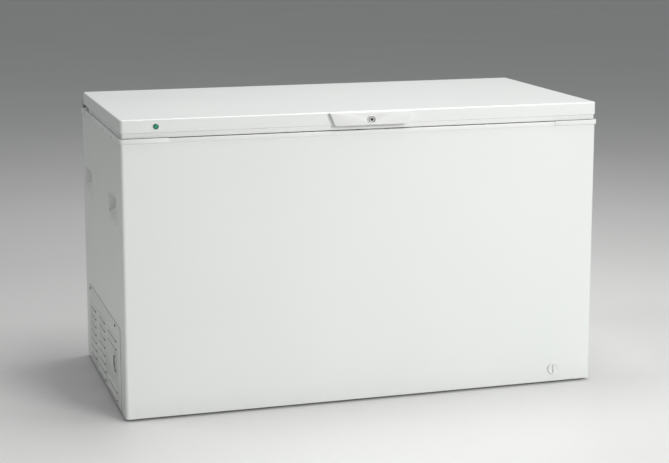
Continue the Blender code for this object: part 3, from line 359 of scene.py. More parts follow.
# Polyester dip coat on basket wire: thick and glossy, it rounds every joint.
DIP_COAT = Finish(
    "dip_coated_wire", Slot.ENAMEL, "F0F0EC", "E4E4DF", 60.0, 0.25, 0.06,
    grain_mm=5.0, grain_um=60.0, coat=0.4,
)
# High-impact polystyrene, moulded in a lightly sparked tool: an even, soft shine.
MOULDED = Finish(
    "moulded_polystyrene", Slot.PLASTIC, "EEEFEC", "E9EAE7", 90.0, 0.40, 0.05,
    ior=1.59, grain_mm=0.8, grain_um=6.0, grime=0.1,
)
# Vacuum-formed polystyrene sheet: glossier, with a slow ripple from the draw.
FORMED = Finish(
    "formed_polystyrene", Slot.PLASTIC, "F1F2F0", "ECEEEC", 200.0, 0.28, 0.05,
    ior=1.59, grain_mm=1.6, grain_um=5.0, wave_mm=90.0, wave_um=220.0,
)
# Hammered aluminium under clear white lacquer, as freezer tubs are lined.
LINER = StuccoFinish(
    "stucco_aluminium", Slot.LINER, "E6E9EA", "DDE1E2", 150.0, 0.34, 0.06,
    grain_mm=1.2, grain_um=6.0, coat=0.2,
)
# Blown polyurethane: matt, yellowish, with an open skin.
FOAM = Finish(
    "polyurethane_foam", Slot.FOAM, "E2CE96", "C9AF6F", 25.0, 0.95, 0.04,
    grain_mm=1.5, grain_um=400.0,
)
# Zinc-plated steel: grey, with the cloudy streaks of the bath.
ZINC = Finish(
    "zinc_plated_steel", Slot.ZINC, "B4B8BA", "8F9496", 14.0, 0.42, 0.12,
    metallic=1.0, grain_mm=0.7, grain_um=6.0, stretch=(1.0, 1.0, 3.0),
)
# Screw heads coloured nearly black: painted shade for the dark of their recesses, on a steel-like metal.
SCREWS_PAINTED_SHADE = Finish(
    "screw_heads_painted_shade", Slot.ZINC, "3A3B3C", "2A2A2B", 9.0, 0.48, 0.10,
    metallic=0.8, grain_mm=0.5, grain_um=8.0,
)
# Satin nickel on the lock, coloured near white with little metal: its bright, even face is partly painted
# reflection, with a soft glint.
NICKEL_WITH_PAINTED_REFLECTION = Finish(
    "nickel_painted_reflection", Slot.CHROME, "F2F2F0", "E8E9E8", 8.0, 0.42, 0.04,
    metallic=0.35, grain_mm=0.3, grain_um=1.0,
)
# Annealed copper tube, browned by the brazing flame.
COPPER = Finish(
    "annealed_copper", Slot.COPPER, "C98462", "8C5238", 22.0, 0.34, 0.12,
    metallic=1.0, grain_mm=1.0, grain_um=8.0,
)
# Stove enamel on the compressor's pressed shell.
BLACK_ENAMEL = Finish(
    "black_stove_enamel", Slot.BLACK_ENAMEL, "1B1C1D", "131314", 40.0, 0.30, 0.08,
    grain_mm=2.2, grain_um=20.0, coat=0.3,
)
# Glass-filled nylon: dull black with a faint fibre grain.
NYLON = Finish(
    "black_nylon", Slot.BLACK_PLASTIC, "1C1C1D", "242425", 12.0, 0.55, 0.08,
    ior=1.53, grain_mm=0.6, grain_um=14.0,
)
# Nitrile rubber with talc left from the mould.
RUBBER = Finish(
    "nitrile_rubber", Slot.RUBBER, "26272A", "3A3B3D", 18.0, 0.75, 0.1,
    ior=1.52, grain_mm=0.9, grain_um=25.0,
)
# Soft PVC of the door seal, light grey and slightly waxy.
SEAL = Finish(
    "soft_pvc_seal", Slot.GASKET, "A9ABAB", "9A9D9D", 45.0, 0.55, 0.06,
    ior=1.54, grain_mm=1.2, grain_um=12.0,
)
# Dyed acrylic in front of a small lamp; its colour is painted brighter in the middle and darker at the
# rim, a painted glow and painted shade.
GREEN_LENS = LensFinish(
    "green_acrylic", Slot.GREEN, "1F9672", "0C4A3A", 4.0, 0.18, 0.04,
    ior=1.49, grain_mm=1.0, grain_um=3.0, coat=0.3, through=0.1, light=0.12,
    painted_glow_of="indicator_lens",
)
# Frosted polycarbonate over the lid's lamp.
FROSTED = LensFinish(
    "frosted_polycarbonate", Slot.CLEAR, "EEF1F2", "E4E9EA", 30.0, 0.45, 0.06,
    ior=1.58, grain_mm=0.9, grain_um=20.0, through=0.6,
)


# ------------------------------------------------------------------ mesh tools
def arc(centre: Span, radius: float, start: float, end: float, steps: int) -> Outline:
    """Return points on an arc.

    Args:
        centre: Its centre.
        radius: Its radius.
        start: First angle in degrees.
        end: Last angle in degrees.
        steps: How many pieces it has.

    Returns:
        The points, both ends included.
    """
    angles = [math.radians(start + (end - start) * i / steps) for i in range(steps + 1)]
    return [(centre[0] + radius * math.cos(a), centre[1] + radius * math.sin(a)) for a in angles]


def rounded(x: Span, y: Span, radius: float, steps: int = 10) -> Outline:
    """Return the outline of a rounded rectangle.

    Args:
        x: Its span along the first axis.
        y: Its span along the second.
        radius: The corners' radius.
        steps: Pieces in each corner.

    Returns:
        The outline, turning left.
    """
    points = arc((x[1] - radius, y[0] + radius), radius, -90, 0, steps)
    points += arc((x[1] - radius, y[1] - radius), radius, 0, 90, steps)
    points += arc((x[0] + radius, y[1] - radius), radius, 90, 180, steps)
    points += arc((x[0] + radius, y[0] + radius), radius, 180, 270, steps)
    return points


def inset(outline: Outline, distance: float) -> Outline:
    """Move every edge of a convex outline, which turns left, inwards.

    Args:
        outline: The outline.
        distance: How far each edge moves.

    Returns:
        The smaller outline, with as many points.
    """
    count = len(outline)
    moved = []
    for i in range(count):
        before = Vector(outline[i - 1])
        here = Vector(outline[i])
        after = Vector(outline[(i + 1) % count])
        one = (here - before).normalized()
        two = (after - here).normalized()
        inward = Vector((-(one.y + two.y), one.x + two.x)).normalized()
        reach = distance / max(inward.dot(Vector((-one.y, one.x))), 0.3)
        moved.append(tuple(here + inward * reach))
    return moved


PLACE = {
    "X": lambda a, b, t: (t, a, b),
    "Y": lambda a, b, t: (a, t, b),
    "Z": lambda a, b, t: (a, b, t),
}


class Shape:
    """A mesh in the making, in the frame's own coordinates."""

    def __init__(self) -> None:
        """Start with no faces."""
        self.bm = bmesh.new()

    def box(self, x: Span, y: Span, z: Span) -> "Shape":
        """Add a box given its spans."""
        size = (x[1] - x[0], y[1] - y[0], z[1] - z[0])
        middle = ((x[0] + x[1]) / 2, (y[0] + y[1]) / 2, (z[0] + z[1]) / 2)
        matrix = Matrix.Translation(middle) @ Matrix.Diagonal((*size, 1.0))
        bmesh.ops.create_cube(self.bm, size=1.0, matrix=matrix)
        return self

    def prism(self, axis: str, outline: Outline, span: Span) -> "Shape":
        """Add an outline extruded along an axis."""
        return self.loft(axis, [(outline, span[0]), (outline, span[1])])

    def loft(self, axis: str, rings: Sequence[tuple[Outline, float]], closed: bool = False) -> "Shape":
        """Join outlines at several heights into a skin.

        Args:
            axis: The axis that the heights lie on.
            rings: Outlines with as many points each, and their heights.
            closed: True if the last ring joins the first, and there are no caps.

        Returns:
            This shape.
        """
        loops = [[self.bm.verts.new(PLACE[axis](a, b, t)) for a, b in ring] for ring, t in rings]
        pairs = list(zip(loops, loops[1:]))
        if closed:
            pairs.append((loops[-1], loops[0]))
        for low, high in pairs:
            for i in range(len(low)):
                j = (i + 1) % len(low)
                self.bm.faces.new((low[i], low[j], high[j], high[i]))
        if not closed:
            self.bm.faces.new(loops[0])
            self.bm.faces.new(loops[-1])
        return self

    def turned(self, axis: str, centre: Span, profile: Sequence[Span], sides: int = 48) -> "Shape":
        """Add a turned solid.

        Args:
            axis: The axis that it is turned about.
            centre: The axis's two other coordinates.
            profile: Radius and height of each ring.
            sides: How many sides it has.

        Returns:
            This shape.
        """
        rings = [(arc(centre, radius, 0, 360 - 360 / sides, sides - 1), t) for radius, t in profile]
        return self.loft(axis, rings)

    def sheet(self, place: Callable, u: Span, v: Span, counts: tuple[int, int], depth: float) -> "Shape":
        """Add a closed sheet whose face follows a rule.

        Args:
            place: Gives a point from u, v and how far behind the face it is.
            u: Span of the first coordinate.
            v: Span of the second.
            counts: Cells along each.
            depth: The sheet's thickness.

        Returns:
            This shape.
        """
        nu, nv = counts
        layers = []
        for back in (0.0, depth):
            grid = {}
            for i in range(nu + 1):
                for j in range(nv + 1):
                    a = u[0] + (u[1] - u[0]) * i / nu
                    b = v[0] + (v[1] - v[0]) * j / nv
                    grid[i, j] = self.bm.verts.new(place(a, b, back))
            layers.append(grid)
        front, rear = layers
        for i in range(nu):
            for j in range(nv):
                ring = ((i, j), (i + 1, j), (i + 1, j + 1), (i, j + 1))
                self.bm.faces.new([front[c] for c in ring])
                self.bm.faces.new([rear[c] for c in reversed(ring)])
        edge = [(i, 0) for i in range(nu)] + [(nu, j) for j in range(nv)]
        edge += [(i, nv) for i in range(nu, 0, -1)] + [(0, j) for j in range(nv, 0, -1)]
        for one, two in zip(edge, edge[1:] + edge[:1]):
            self.bm.faces.new((front[two], front[one], rear[one], rear[two]))
        return self

    def object(self, name: str) -> bpy.types.Object:
        """Turn the shape into an object, with its faces outwards."""
        bmesh.ops.remove_doubles(self.bm, verts=self.bm.verts, dist=1e-6)
        bmesh.ops.recalc_face_normals(self.bm, faces=self.bm.faces)
        mesh = bpy.data.meshes.new(name)
        self.bm.to_mesh(mesh)
        self.bm.free()
        item = bpy.data.objects.new(name, mesh)
        bpy.context.scene.collection.objects.link(item)
        return item


def settle(item: bpy.types.Object) -> bpy.types.Object:
    """Apply an object's modifiers to its mesh.

    Args:
        item: The object.

    Returns:
        The same object, with no modifiers.
    """
    graph = bpy.context.evaluated_depsgraph_get()
    mesh = bpy.data.meshes.new_from_object(item.evaluated_get(graph))
    item.modifiers.clear()
    item.data = mesh
    return item


def carve(item: bpy.types.Object, *tools: "Shape | bpy.types.Object") -> bpy.types.Object:
    """Cut shapes or objects out of an object.

    Args:
        item: The object.
        tools: The shapes or objects; objects are used up.

    Returns:
        The same object.
    """
    for tool in tools:
        cutter = tool.object(item.name + "_tool") if isinstance(tool, Shape) else tool
        change = item.modifiers.new("carve", "BOOLEAN")
        change.operation = "DIFFERENCE"
        change.solver = "EXACT"
        change.object = cutter
        settle(item)
        bpy.data.objects.remove(cutter, do_unlink=True)
    return item


def soften(
    item: bpy.types.Object, width_mm: float, steps: int = 2, angle: float = 30.0
) -> bpy.types.Object:
    """Round the edges of an object and shade it smooth.

    Args:
        item: The object.
        width_mm: The edges' radius.
        steps: Pieces in each rounded edge.
        angle: The least fold, in degrees, that counts as an edge.

    Returns:
        The same object.
    """
    edges = item.modifiers.new("edges", "BEVEL")
    edges.width = width_mm * MM
    edges.segments = steps
    edges.limit_method = "ANGLE"
    edges.angle_limit = math.radians(angle)
    edges.use_clamp_overlap = False
    settle(item)
    return shade(item)


def shade(item: bpy.types.Object, angle: float = 38.0) -> bpy.types.Object:
    """Shade an object smooth, with sharp folds left sharp."""
    item.data.shade_smooth()
    item.data.set_sharp_from_angle(angle=math.radians(angle))
    return item


def traced(node: str, name: str) -> bpy.types.Object:
    """Return a merged copy of a frame node's mesh, with flat areas joined to one face each.

    Args:
        node: The node.
        name: The copy's name.

    Returns:
        The copy.
    """
    shape = Shape()
    shape.bm.from_mesh(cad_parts[node].data)
    bmesh.ops.remove_doubles(shape.bm, verts=shape.bm.verts, dist=1e-6)
    bmesh.ops.dissolve_limit(
        shape.bm, angle_limit=math.radians(1.0), verts=shape.bm.verts, edges=shape.bm.edges
    )
    return shape.object(name)


# ------------------------------------------------------------------ geometry nodes
def new_tree(name: str, sockets: dict[str, str]) -> tuple[bpy.types.NodeTree, bpy.types.Node]:
    """Start a geometry tree.

    Args:
        name: The tree's name.
        sockets: Its inputs, by name, with their socket types.

    Returns:
        The tree and its input node.
    """
    tree = bpy.data.node_groups.new(name, "GeometryNodeTree")
    tree.interface.new_socket("Geometry", in_out="INPUT", socket_type="NodeSocketGeometry")
    for label, kind in sockets.items():
        tree.interface.new_socket(label, in_out="INPUT", socket_type=kind)
    tree.interface.new_socket("Geometry", in_out="OUTPUT", socket_type="NodeSocketGeometry")
    return tree, add_node(tree, "NodeGroupInput")


def end_tree(tree: bpy.types.NodeTree, source: bpy.types.Node, made: bpy.types.NodeSocket) -> None:
    """Finish a geometry tree: real meshes in the given material."""
    real = add_node(tree, "GeometryNodeRealizeInstances", None, {"Geometry": made})
    dressed = add_node(
        tree,
        "GeometryNodeSetMaterial",
        None,
        {"Geometry": real.outputs[0], "Material": source.outputs["Material"]},
    )
    add_node(tree, "NodeGroupOutput", None, {"Geometry": dressed.outputs[0]})


def row_tree() -> bpy.types.NodeTree:
    """Return the tree that repeats a piece along a line."""
    tree, source = new_tree(
        "row", {"Count": "NodeSocketInt", "Step": "NodeSocketVector", "Material": "NodeSocketMaterial"}
    )
    line = add_node(
        tree,
        "GeometryNodeMeshLine",
        {"mode": "OFFSET"},
        {"Count": source.outputs["Count"], "Offset": source.outputs["Step"]},
    )
    copies = add_node(
        tree,
        "GeometryNodeInstanceOnPoints",
        None,
        {"Points": line.outputs[0], "Instance": source.outputs["Geometry"]},
    )
    end_tree(tree, source, copies.outputs[0])
    return tree


def ring_tree() -> bpy.types.NodeTree:
    """Return the tree that repeats a piece round the X axis of the object."""
    tree, source = new_tree(
        "ring", {"Count": "NodeSocketInt", "Turn": "NodeSocketFloat", "Material": "NodeSocketMaterial"}
    )
    line = add_node(
        tree,
        "GeometryNodeMeshLine",
        {"mode": "OFFSET", "Offset": (0.0, 0.0, 0.0)},
        {"Count": source.outputs["Count"]},
    )
    index = add_node(tree, "GeometryNodeInputIndex")
    angle = add_node(
        tree,
        "ShaderNodeMath",
        {"operation": "MULTIPLY"},
        {0: index.outputs[0], 1: source.outputs["Turn"]},
    )
    turn = add_node(tree, "ShaderNodeCombineXYZ", None, {"X": angle.outputs[0]})
    copies = add_node(
        tree,
        "GeometryNodeInstanceOnPoints",
        None,
        {
            "Points": line.outputs[0],
            "Instance": source.outputs["Geometry"],
            "Rotation": turn.outputs[0],
        },
    )
    end_tree(tree, source, copies.outputs[0])
    return tree


def wire_tree() -> bpy.types.NodeTree:
    """Return the tree that bends round wire along a path and repeats it along a line."""
    tree, source = new_tree(
        "wire",
        {
            "Count": "NodeSocketInt",
            "Step": "NodeSocketVector",
            "Radius": "NodeSocketFloat",
            "Bend": "NodeSocketFloat",
            "Sides": "NodeSocketInt",
            "Material": "NodeSocketMaterial",
        },
    )
    path = add_node(tree, "GeometryNodeMeshToCurve", None, {0: source.outputs["Geometry"]})
    bent = add_node(
        tree,
        "GeometryNodeFilletCurve",
        {"mode": "POLY", "Count": 5, "Limit Radius": True},
        {"Curve": path.outputs[0], "Radius": source.outputs["Bend"]},
    )
    circle = add_node(
        tree,
        "GeometryNodeCurvePrimitiveCircle",
        None,
        {"Resolution": source.outputs["Sides"], "Radius": source.outputs["Radius"]},
    )
    wire = add_node(
        tree,
        "GeometryNodeCurveToMesh",
        {"Fill Caps": True},
        {"Curve": bent.outputs[0], "Profile Curve": circle.outputs[0]},
    )
    smooth = add_node(tree, "GeometryNodeSetShadeSmooth", None, {0: wire.outputs[0]})
    line = add_node(
        tree,
        "GeometryNodeMeshLine",
        {"mode": "OFFSET"},
        {"Count": source.outputs["Count"], "Offset": source.outputs["Step"]},
    )
    copies = add_node(
        tree,
        "GeometryNodeInstanceOnPoints",
        None,
        {"Points": line.outputs[0], "Instance": smooth.outputs[0]},
    )
    end_tree(tree, source, copies.outputs[0])
    return tree


def screw_tree() -> bpy.types.NodeTree:
    """Return the tree that sets a cross-recessed pan head at every point."""
    tree, source = new_tree(
        "screws",
        {
            "Head radius": "NodeSocketFloat",
            "Head height": "NodeSocketFloat",
            "Turn": "NodeSocketVector",
            "Material": "NodeSocketMaterial",
        },
    )
    ball = add_node(
        tree, "GeometryNodeMeshUVSphere", {"Segments": 18, "Rings": 10, "Radius": 1.0}
    )
    keep = add_node(
        tree,
        "ShaderNodeCombineXYZ",
        None,
        {
            "X": source.outputs["Head radius"],
            "Y": source.outputs["Head radius"],
            "Z": source.outputs["Head height"],
        },
    )
    head = add_node(
        tree, "GeometryNodeTransform", None, {"Geometry": ball.outputs[0], "Scale": keep.outputs[0]}
    )
    cubes = []
    for long_way, wide_way in ((1.15, 0.24), (0.24, 1.15)):
        size = add_node(
            tree,
            "ShaderNodeVectorMath",
            {"operation": "MULTIPLY", 1: (long_way, wide_way, 0.9)},
            {0: keep.outputs[0]},
        )
        cube = add_node(tree, "GeometryNodeMeshCube", None, {"Size": size.outputs[0]})
        lift = add_node(
            tree,
            "ShaderNodeVectorMath",
            {"operation": "MULTIPLY", 1: (0.0, 0.0, 0.95)},
            {0: keep.outputs[0]},
        )
        cubes.append(
            add_node(
                tree,
                "GeometryNodeTransform",
                None,
                {"Geometry": cube.outputs[0], "Translation": lift.outputs[0]},
            )
        )
    cut = add_node(
        tree, "GeometryNodeMeshBoolean", {"operation": "DIFFERENCE"}, {0: head.outputs[0]}
    )
    for cube in cubes:
        tree.links.new(cube.outputs[0], cut.inputs[1])
    copies = add_node(
        tree,
        "GeometryNodeInstanceOnPoints",
        None,
        {
            "Points": source.outputs["Geometry"],
            "Instance": cut.outputs[0],
            "Rotation": source.outputs["Turn"],
        },
    )
    end_tree(tree, source, copies.outputs[0])
    return tree


TREES: dict[str, bpy.types.NodeTree] = {}


def grow(item: bpy.types.Object, maker: Callable, finish: Finish, values: dict) -> bpy.types.Object:
    """Run a geometry tree on an object and keep the plain mesh.

    Args:
        item: The object with the piece, path or points.
        maker: The function that makes the tree.
        finish: The finish that it ends in.
        values: The tree's other inputs, by name.

    Returns:
        The same object.
    """
    tree = TREES.get(maker.__name__) or maker()
    TREES[maker.__name__] = tree
    modifier = item.modifiers.new("grow", "NODES")
    modifier.node_group = tree
    values = {**values, "Material": finish.material()}
    for socket in tree.interface.items_tree:
        if socket.in_out == "INPUT" and socket.name in values:
            modifier[socket.identifier] = values[socket.name]
    item.update_tag()
    return settle(item)


def points_object(
    name: str, points: Sequence[Point], joined: bool = False, ring: bool = False
) -> bpy.types.Object:
    """Return an object that holds points, or a path through them.

    Args:
        name: The object's name.
        points: The points.
        joined: True for a path.
        ring: True if the path closes.

    Returns:
        The object.
    """
    edges = [(i, i + 1) for i in range(len(points) - 1)] if joined else []
    if ring:
        edges.append((len(points) - 1, 0))
    mesh = bpy.data.meshes.new(name)
    mesh.from_pydata(points, edges, [])
    item = bpy.data.objects.new(name, mesh)
    bpy.context.scene.collection.objects.link(item)
    return item


# ------------------------------------------------------------------ assemblies
@dataclass
class Assembly:
    """Pieces that are made together and ride on one body."""

    body: str = "cabinet"
    made: list[str] = field(default_factory=list)

    def keep(
        self, item: bpy.types.Object, finish: Finish, *nodes: str, body: str = ""
    ) -> bpy.types.Object:
        """Give a piece its finish, its body and the frame nodes that it stands for.

        Args:
            item: The piece.
            finish: Its finish.
            nodes: The frame nodes that it replaces.
            body: Its body, where that isn't the assembly's own.

        Returns:
            The piece.
        """
        item.data.materials.clear()
        item.data.materials.append(finish.material())
        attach(item, body or self.body)
        if nodes:
            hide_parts(*nodes)
        self.made.append(item.name)
        return item

    def refine(
        self, node: str, finish: Finish, width_mm: float, steps: int = 2, body: str = ""
    ) -> None:
        """Replace a node by its own shape with rounded edges."""
        item = soften(traced(node, node + "_fine"), width_mm, steps)
        self.keep(item, finish, node, body=body)

    def screws(
        self, name: str, points: Sequence[Point], turn: Point, radius_mm: float, finish: Finish
    ) -> None:
        """Set a group of pan-head screws."""
        item = points_object(name, points)
        values = {"Head radius": radius_mm * MM, "Head height": radius_mm * 0.55 * MM, "Turn": turn}
        self.keep(shade(grow(item, screw_tree, finish, values)), finish)

    def wire(
        self,
        name: str,
        path: Sequence[Point],
        radius_mm: float,
        finish: Finish,
        bend_mm: float = 8.0,
        count: int = 1,
        step: Point = (0.0, 0.0, 0.0),
        ring: bool = False,
        sides: int = 12,
        nodes: Sequence[str] = (),
        body: str = "",
    ) -> None:
        """Bend a wire or tube along a path, once or in a row.

        Args:
            name: The piece's name.
            path: The path's corners.
            radius_mm: The wire's radius.
            finish: Its finish.
            bend_mm: The radius of its bends.
            count: How many there are.
            step: From one to the next.
            ring: True if the path closes.
            sides: Sides of the wire.
            nodes: The frame nodes that it replaces.
            body: Its body, where that isn't the assembly's own.
        """
        item = points_object(name, path, True, ring)
        values = {
            "Count": count,
            "Step": step,
            "Radius": radius_mm * MM,
            "Bend": bend_mm * MM,
            "Sides": sides,
        }
        self.keep(grow(item, wire_tree, finish, values), finish, *nodes, body=body)

    def build(self) -> None:
        """Make the pieces; each assembly has its own way."""
        raise NotImplementedError


def span(node: str, axis: int) -> Span:
    """Return a frame node's span along axis 0, 1 or 2."""
    low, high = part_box(node)
    return (low[axis], high[axis])


def centre(node: str) -> Vector:
    """Return the middle of a frame node's box."""
    low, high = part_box(node)
    return (low + high) / 2


def smooth(t: float) -> float:
    """Return a soft step from 0 to 1."""
    t = min(max(t, 0.0), 1.0)
    return t * t * (3 - 2 * t)


def within(outline: Sequence[Span], point: Span) -> float:
    """Return how far inside an outline a point is; it is negative outside.

    Args:
        outline: The outline's corners.
        point: The point.

    Returns:
        The distance to the nearest edge.
    """
    inside = False
    nearest = 1.0
    here = Vector(point)
    for one, two in zip(outline, [*outline[1:], outline[0]]):
        start, run = Vector(one), Vector(two) - Vector(one)
        along = min(max((here - start).dot(run) / max(run.length_squared, 1e-12), 0.0), 1.0)
        nearest = min(nearest, (here - start - run * along).length)
        if (one[1] > point[1]) != (two[1] > point[1]):
            crossing = one[0] + (point[1] - one[1]) / (two[1] - one[1]) * (two[0] - one[0])
            inside = inside != (point[0] < crossing)
    return nearest if inside else -nearest


@dataclass
class Cabinet(Assembly):
    """The outer sheets with the foam between them and the tub."""

    sheet: float = 0.0008
    corner: float = 0.010
    rib_height: float = 0.0032
    rib_width: float = 0.030
    rear_ribs: tuple[float, ...] = (-0.50, -0.25, 0.0, 0.25, 0.50)
    base_ribs: tuple[float, ...] = (-0.45, -0.15, 0.15, 0.45)
    base_rib_width: float = 0.022
    base_rib_depth: float = 0.003
    grip_margin: Span = (0.007, 0.0045)
    grip_corner: float = 0.008
    vent_margin: tuple[float, float, float] = (0.015, 0.018, 0.022)
    vent_corner: float = 0.006
    drain_bore: float = 0.010
    gland_bore: float = 0.0065
    sump_bore: float = 0.0075
    through: float = 0.02
    well: tuple[Span, Span, float] = ((-0.668, 0.668), (-0.303, 0.303), 0.0755)
    step: Span = (-0.415, 0.325)
    well_radius: float = 0.030
    floor_radius: float = 0.014

    def wrapper(self) -> None:
        """Make the sheet that wraps the front and both sides."""
        x, y, z = (span("cabinet_wrapper", axis) for axis in range(3))
        left = (x[0] + self.corner, y[0] + self.corner)
        right = (x[1] - self.corner, y[0] + self.corner)
        inner = self.corner - self.sheet
        outline = [(x[0], y[1])] + arc(left, self.corner, 180, 270, 14)
        outline += arc(right, self.corner, 270, 360, 14) + [(x[1], y[1])]
        outline += [(x[1] - self.sheet, y[1])] + arc(right, inner, 360, 270, 14)
        outline += arc(left, inner, 270, 180, 14) + [(x[0] + self.sheet, y[1])]
        item = Shape().prism("Z", outline, z).object("wrapper_sheet")
        for side in ("front_left", "rear_left", "front_right", "rear_right"):
            gx, gy, gz = (span("hand_grip_" + side, axis) for axis in range(3))
            along, up = self.grip_margin
            hole = rounded((gy[0] + along, gy[1] - along), (gz[0] + up, gz[1] - up), self.grip_corner)
            carve(item, Shape().prism("X", hole, (gx[0] - self.through, gx[1] + self.through)))
        gx, gy, gz = (span("vent_grille", axis) for axis in range(3))
        side, below, above = self.vent_margin
        hole = rounded((gy[0] + side, gy[1] - side), (gz[0] + below, gz[1] - above), self.vent_corner)
        carve(item, Shape().prism("X", hole, (gx[0] - self.through, gx[1] + self.through)))
        tap = centre("drain_cap")
        pipe = arc((tap.x, tap.z), self.drain_bore, 0, 350, 35)
        carve(item, Shape().prism("Y", pipe, (y[0] - 0.01, y[0] + 0.01)))
        self.keep(shade(item), ENAMEL, "cabinet_wrapper")
        hem = arc(left, self.corner - 2 * self.sheet, 180, 270, 8)
        hem += arc(right, self.corner - 2 * self.sheet, 270, 360, 8)
        flange = [(px * 0.984, py + 0.012) for px, py in reversed(hem)]
        item = Shape().prism("Z", hem + flange, (z[0], z[0] + self.sheet)).object("wrapper_hem")
        self.keep(shade(item), ENAMEL)

    def back(self) -> None:
        """Make the rear panel with its pressed ribs and screws."""
        x, y, z = (span("rear_panel", axis) for axis in range(3))

        def place(a: float, b: float, behind: float) -> Point:
            """Return a point of the rear sheet, raised on the ribs."""
            near = min(abs(a - rib) for rib in self.rear_ribs) / (self.rib_width / 2)
            ends = smooth((b - z[0] - 0.10) / 0.03) * smooth((z[1] - 0.16 - b) / 0.03)
            return (a, y[1] - behind + self.rib_height * smooth(1 - near) * ends, b)

        item = Shape().sheet(place, x, z, (260, 60), self.sheet).object("rear_sheet")
        gland = centre("cord_gland")
        bore = arc((gland.x, gland.z), self.gland_bore, 0, 345, 23)
        carve(item, Shape().prism("Y", bore, (y[0] - 0.01, y[1] + 0.01)))
        self.keep(shade(item, 50), ENAMEL, "rear_panel")
        places = [(px, y[1], z[0] + 0.012) for px in (-0.70, -0.42, -0.14, 0.14, 0.42, 0.70)]
        places += [(px, y[1], z[1] - 0.013) for px in (-0.62, -0.31, 0.0, 0.31, 0.62)]
        sides = (x[0] + 0.012, x[1] - 0.012)
        places += [(px, y[1], pz) for px in sides for pz in (0.21, 0.41, 0.61)]
        self.screws("rear_screws", places, (-math.pi / 2, 0.0, 0.0), 4.2, ZINC)

    def base(self) -> None:
        """Make the base pan with its pressed stiffening ribs."""
        x, y, z = (span("base_pan", axis) for axis in range(3))

        def place(a: float, b: float, behind: float) -> Point:
            """Return a point of the base pan, lowered on the ribs."""
            near = min(abs(a - rib) for rib in self.base_ribs) / self.base_rib_width
            ends = smooth((b - y[0] - 0.05) / 0.03) * smooth((y[1] - 0.05 - b) / 0.03)
            return (a, b, z[0] + behind - self.base_rib_depth * smooth(1 - near) * ends)

        item = Shape().sheet(place, x, y, (240, 40), z[1] - z[0]).object("base_sheet")
        corner = rounded(x, y, self.corner)
        keep = Shape().prism("Z", corner, (z[0] - 0.02, z[1] + 0.02)).object("base_outline")
        change = item.modifiers.new("trim", "BOOLEAN")
        change.operation = "INTERSECT"
        change.solver = "EXACT"
        change.object = keep
        settle(item)
        bpy.data.objects.remove(keep, do_unlink=True)
        self.keep(shade(item, 50), ZINC, "base_pan")

    def stepped(self, grow: float, top: float) -> bpy.types.Object:
        """Return the tub's inside, rounded and grown by some distance.

        Args:
            grow: How far it grows outwards.
            top: Its height; the rim is cut there.

        Returns:
            The solid.
        """
        x, y, floor = self.well
        low = floor - grow
        edge, shelf = self.step[0] - grow, self.step[1] - grow
        outline = [(x[1] + grow, low), (x[1] + grow, top), (x[0] - grow, top)]
        outline += [(x[0] - grow, shelf), (edge, shelf), (edge, low)]
        shape = Shape().prism("Y", outline, (y[0] - grow, y[1] + grow))
        upright = [
            e
            for e in shape.bm.edges
            if abs(e.verts[0].co.z - e.verts[1].co.z) > 0.01 and abs(e.verts[0].co.x - edge) > 0.001
        ]
        bmesh.ops.bevel(
            shape.bm,
            geom=upright,
            offset=self.well_radius + grow,
            segments=9,
            profile=0.5,
            affect="EDGES",
        )
        return soften(shape.object("tub_solid"), self.floor_radius / MM, 5)

    def tub(self) -> None:
        """Make the inner liner: a smooth tub with a step and a drain hole."""
        top = span("inner_liner", 2)[1]
        item = self.stepped(self.sheet, top + 0.05)
        inside = self.stepped(0.0, top + 0.08)
        sump = centre("drain_plug")
        hole = arc((sump.x, sump.y), self.sump_bore, 0, 345, 23)
        lid_cut = Shape().box((-1.0, 1.0), (-1.0, 1.0), (top, top + 0.2))
        carve(item, inside, lid_cut, Shape().prism("Z", hole, (0.05, 0.09)))
        item.name = "tub"
        self.keep(shade(item), LINER, "inner_liner", "liner_floor")

    def build(self) -> None:
        """Make the cabinet's sheets and tub; foam and tubes stay as they are."""
        self.wrapper()
        self.back()
        self.base()
        self.tub()
        for side in ("front_left", "front_right", "rear_left", "rear_right"):
            node = "base_glide_" + side
            low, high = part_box(node)
            spot = centre(node)
            r = (high.x - low.x) / 2
            z0, z1 = low.z, high.z
            profile = [(0.006, z0 + 0.0025), (0.010, z0 + 0.0025), (0.011, z0), (r - 0.002, z0)]
            profile += [(r - 0.0006, z0 + 0.0007), (r, z0 + 0.002), (r, z1 - 0.001), (r - 0.001, z1)]
            glide = Shape().turned("Z", (spot.x, spot.y), profile).object(node + "_fine")
            self.keep(shade(glide), RUBBER, node)


@dataclass
class Collar(Assembly):
    """The moulded frame on the cabinet's rim, its corner caps and the strike."""

    edge_mm: float = 0.45

    def build(self) -> None:
        """Make the collar, the four caps and the strike plate."""
        self.refine("collar_frame", FORMED, self.edge_mm, 3)
        for side in ("front_left", "front_right", "rear_left", "rear_right"):
            self.refine("corner_cap_" + side, MOULDED, self.edge_mm, 3)
        self.refine("lock_strike", ZINC, 0.25)
        low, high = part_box("lock_strike")
        places = [(px, (low.y + high.y) / 2, high.z) for px in (low.x + 0.005, high.x - 0.005)]
        self.screws("strike_screws", places, (0.0, 0.0, 0.0), 2.6, ZINC)


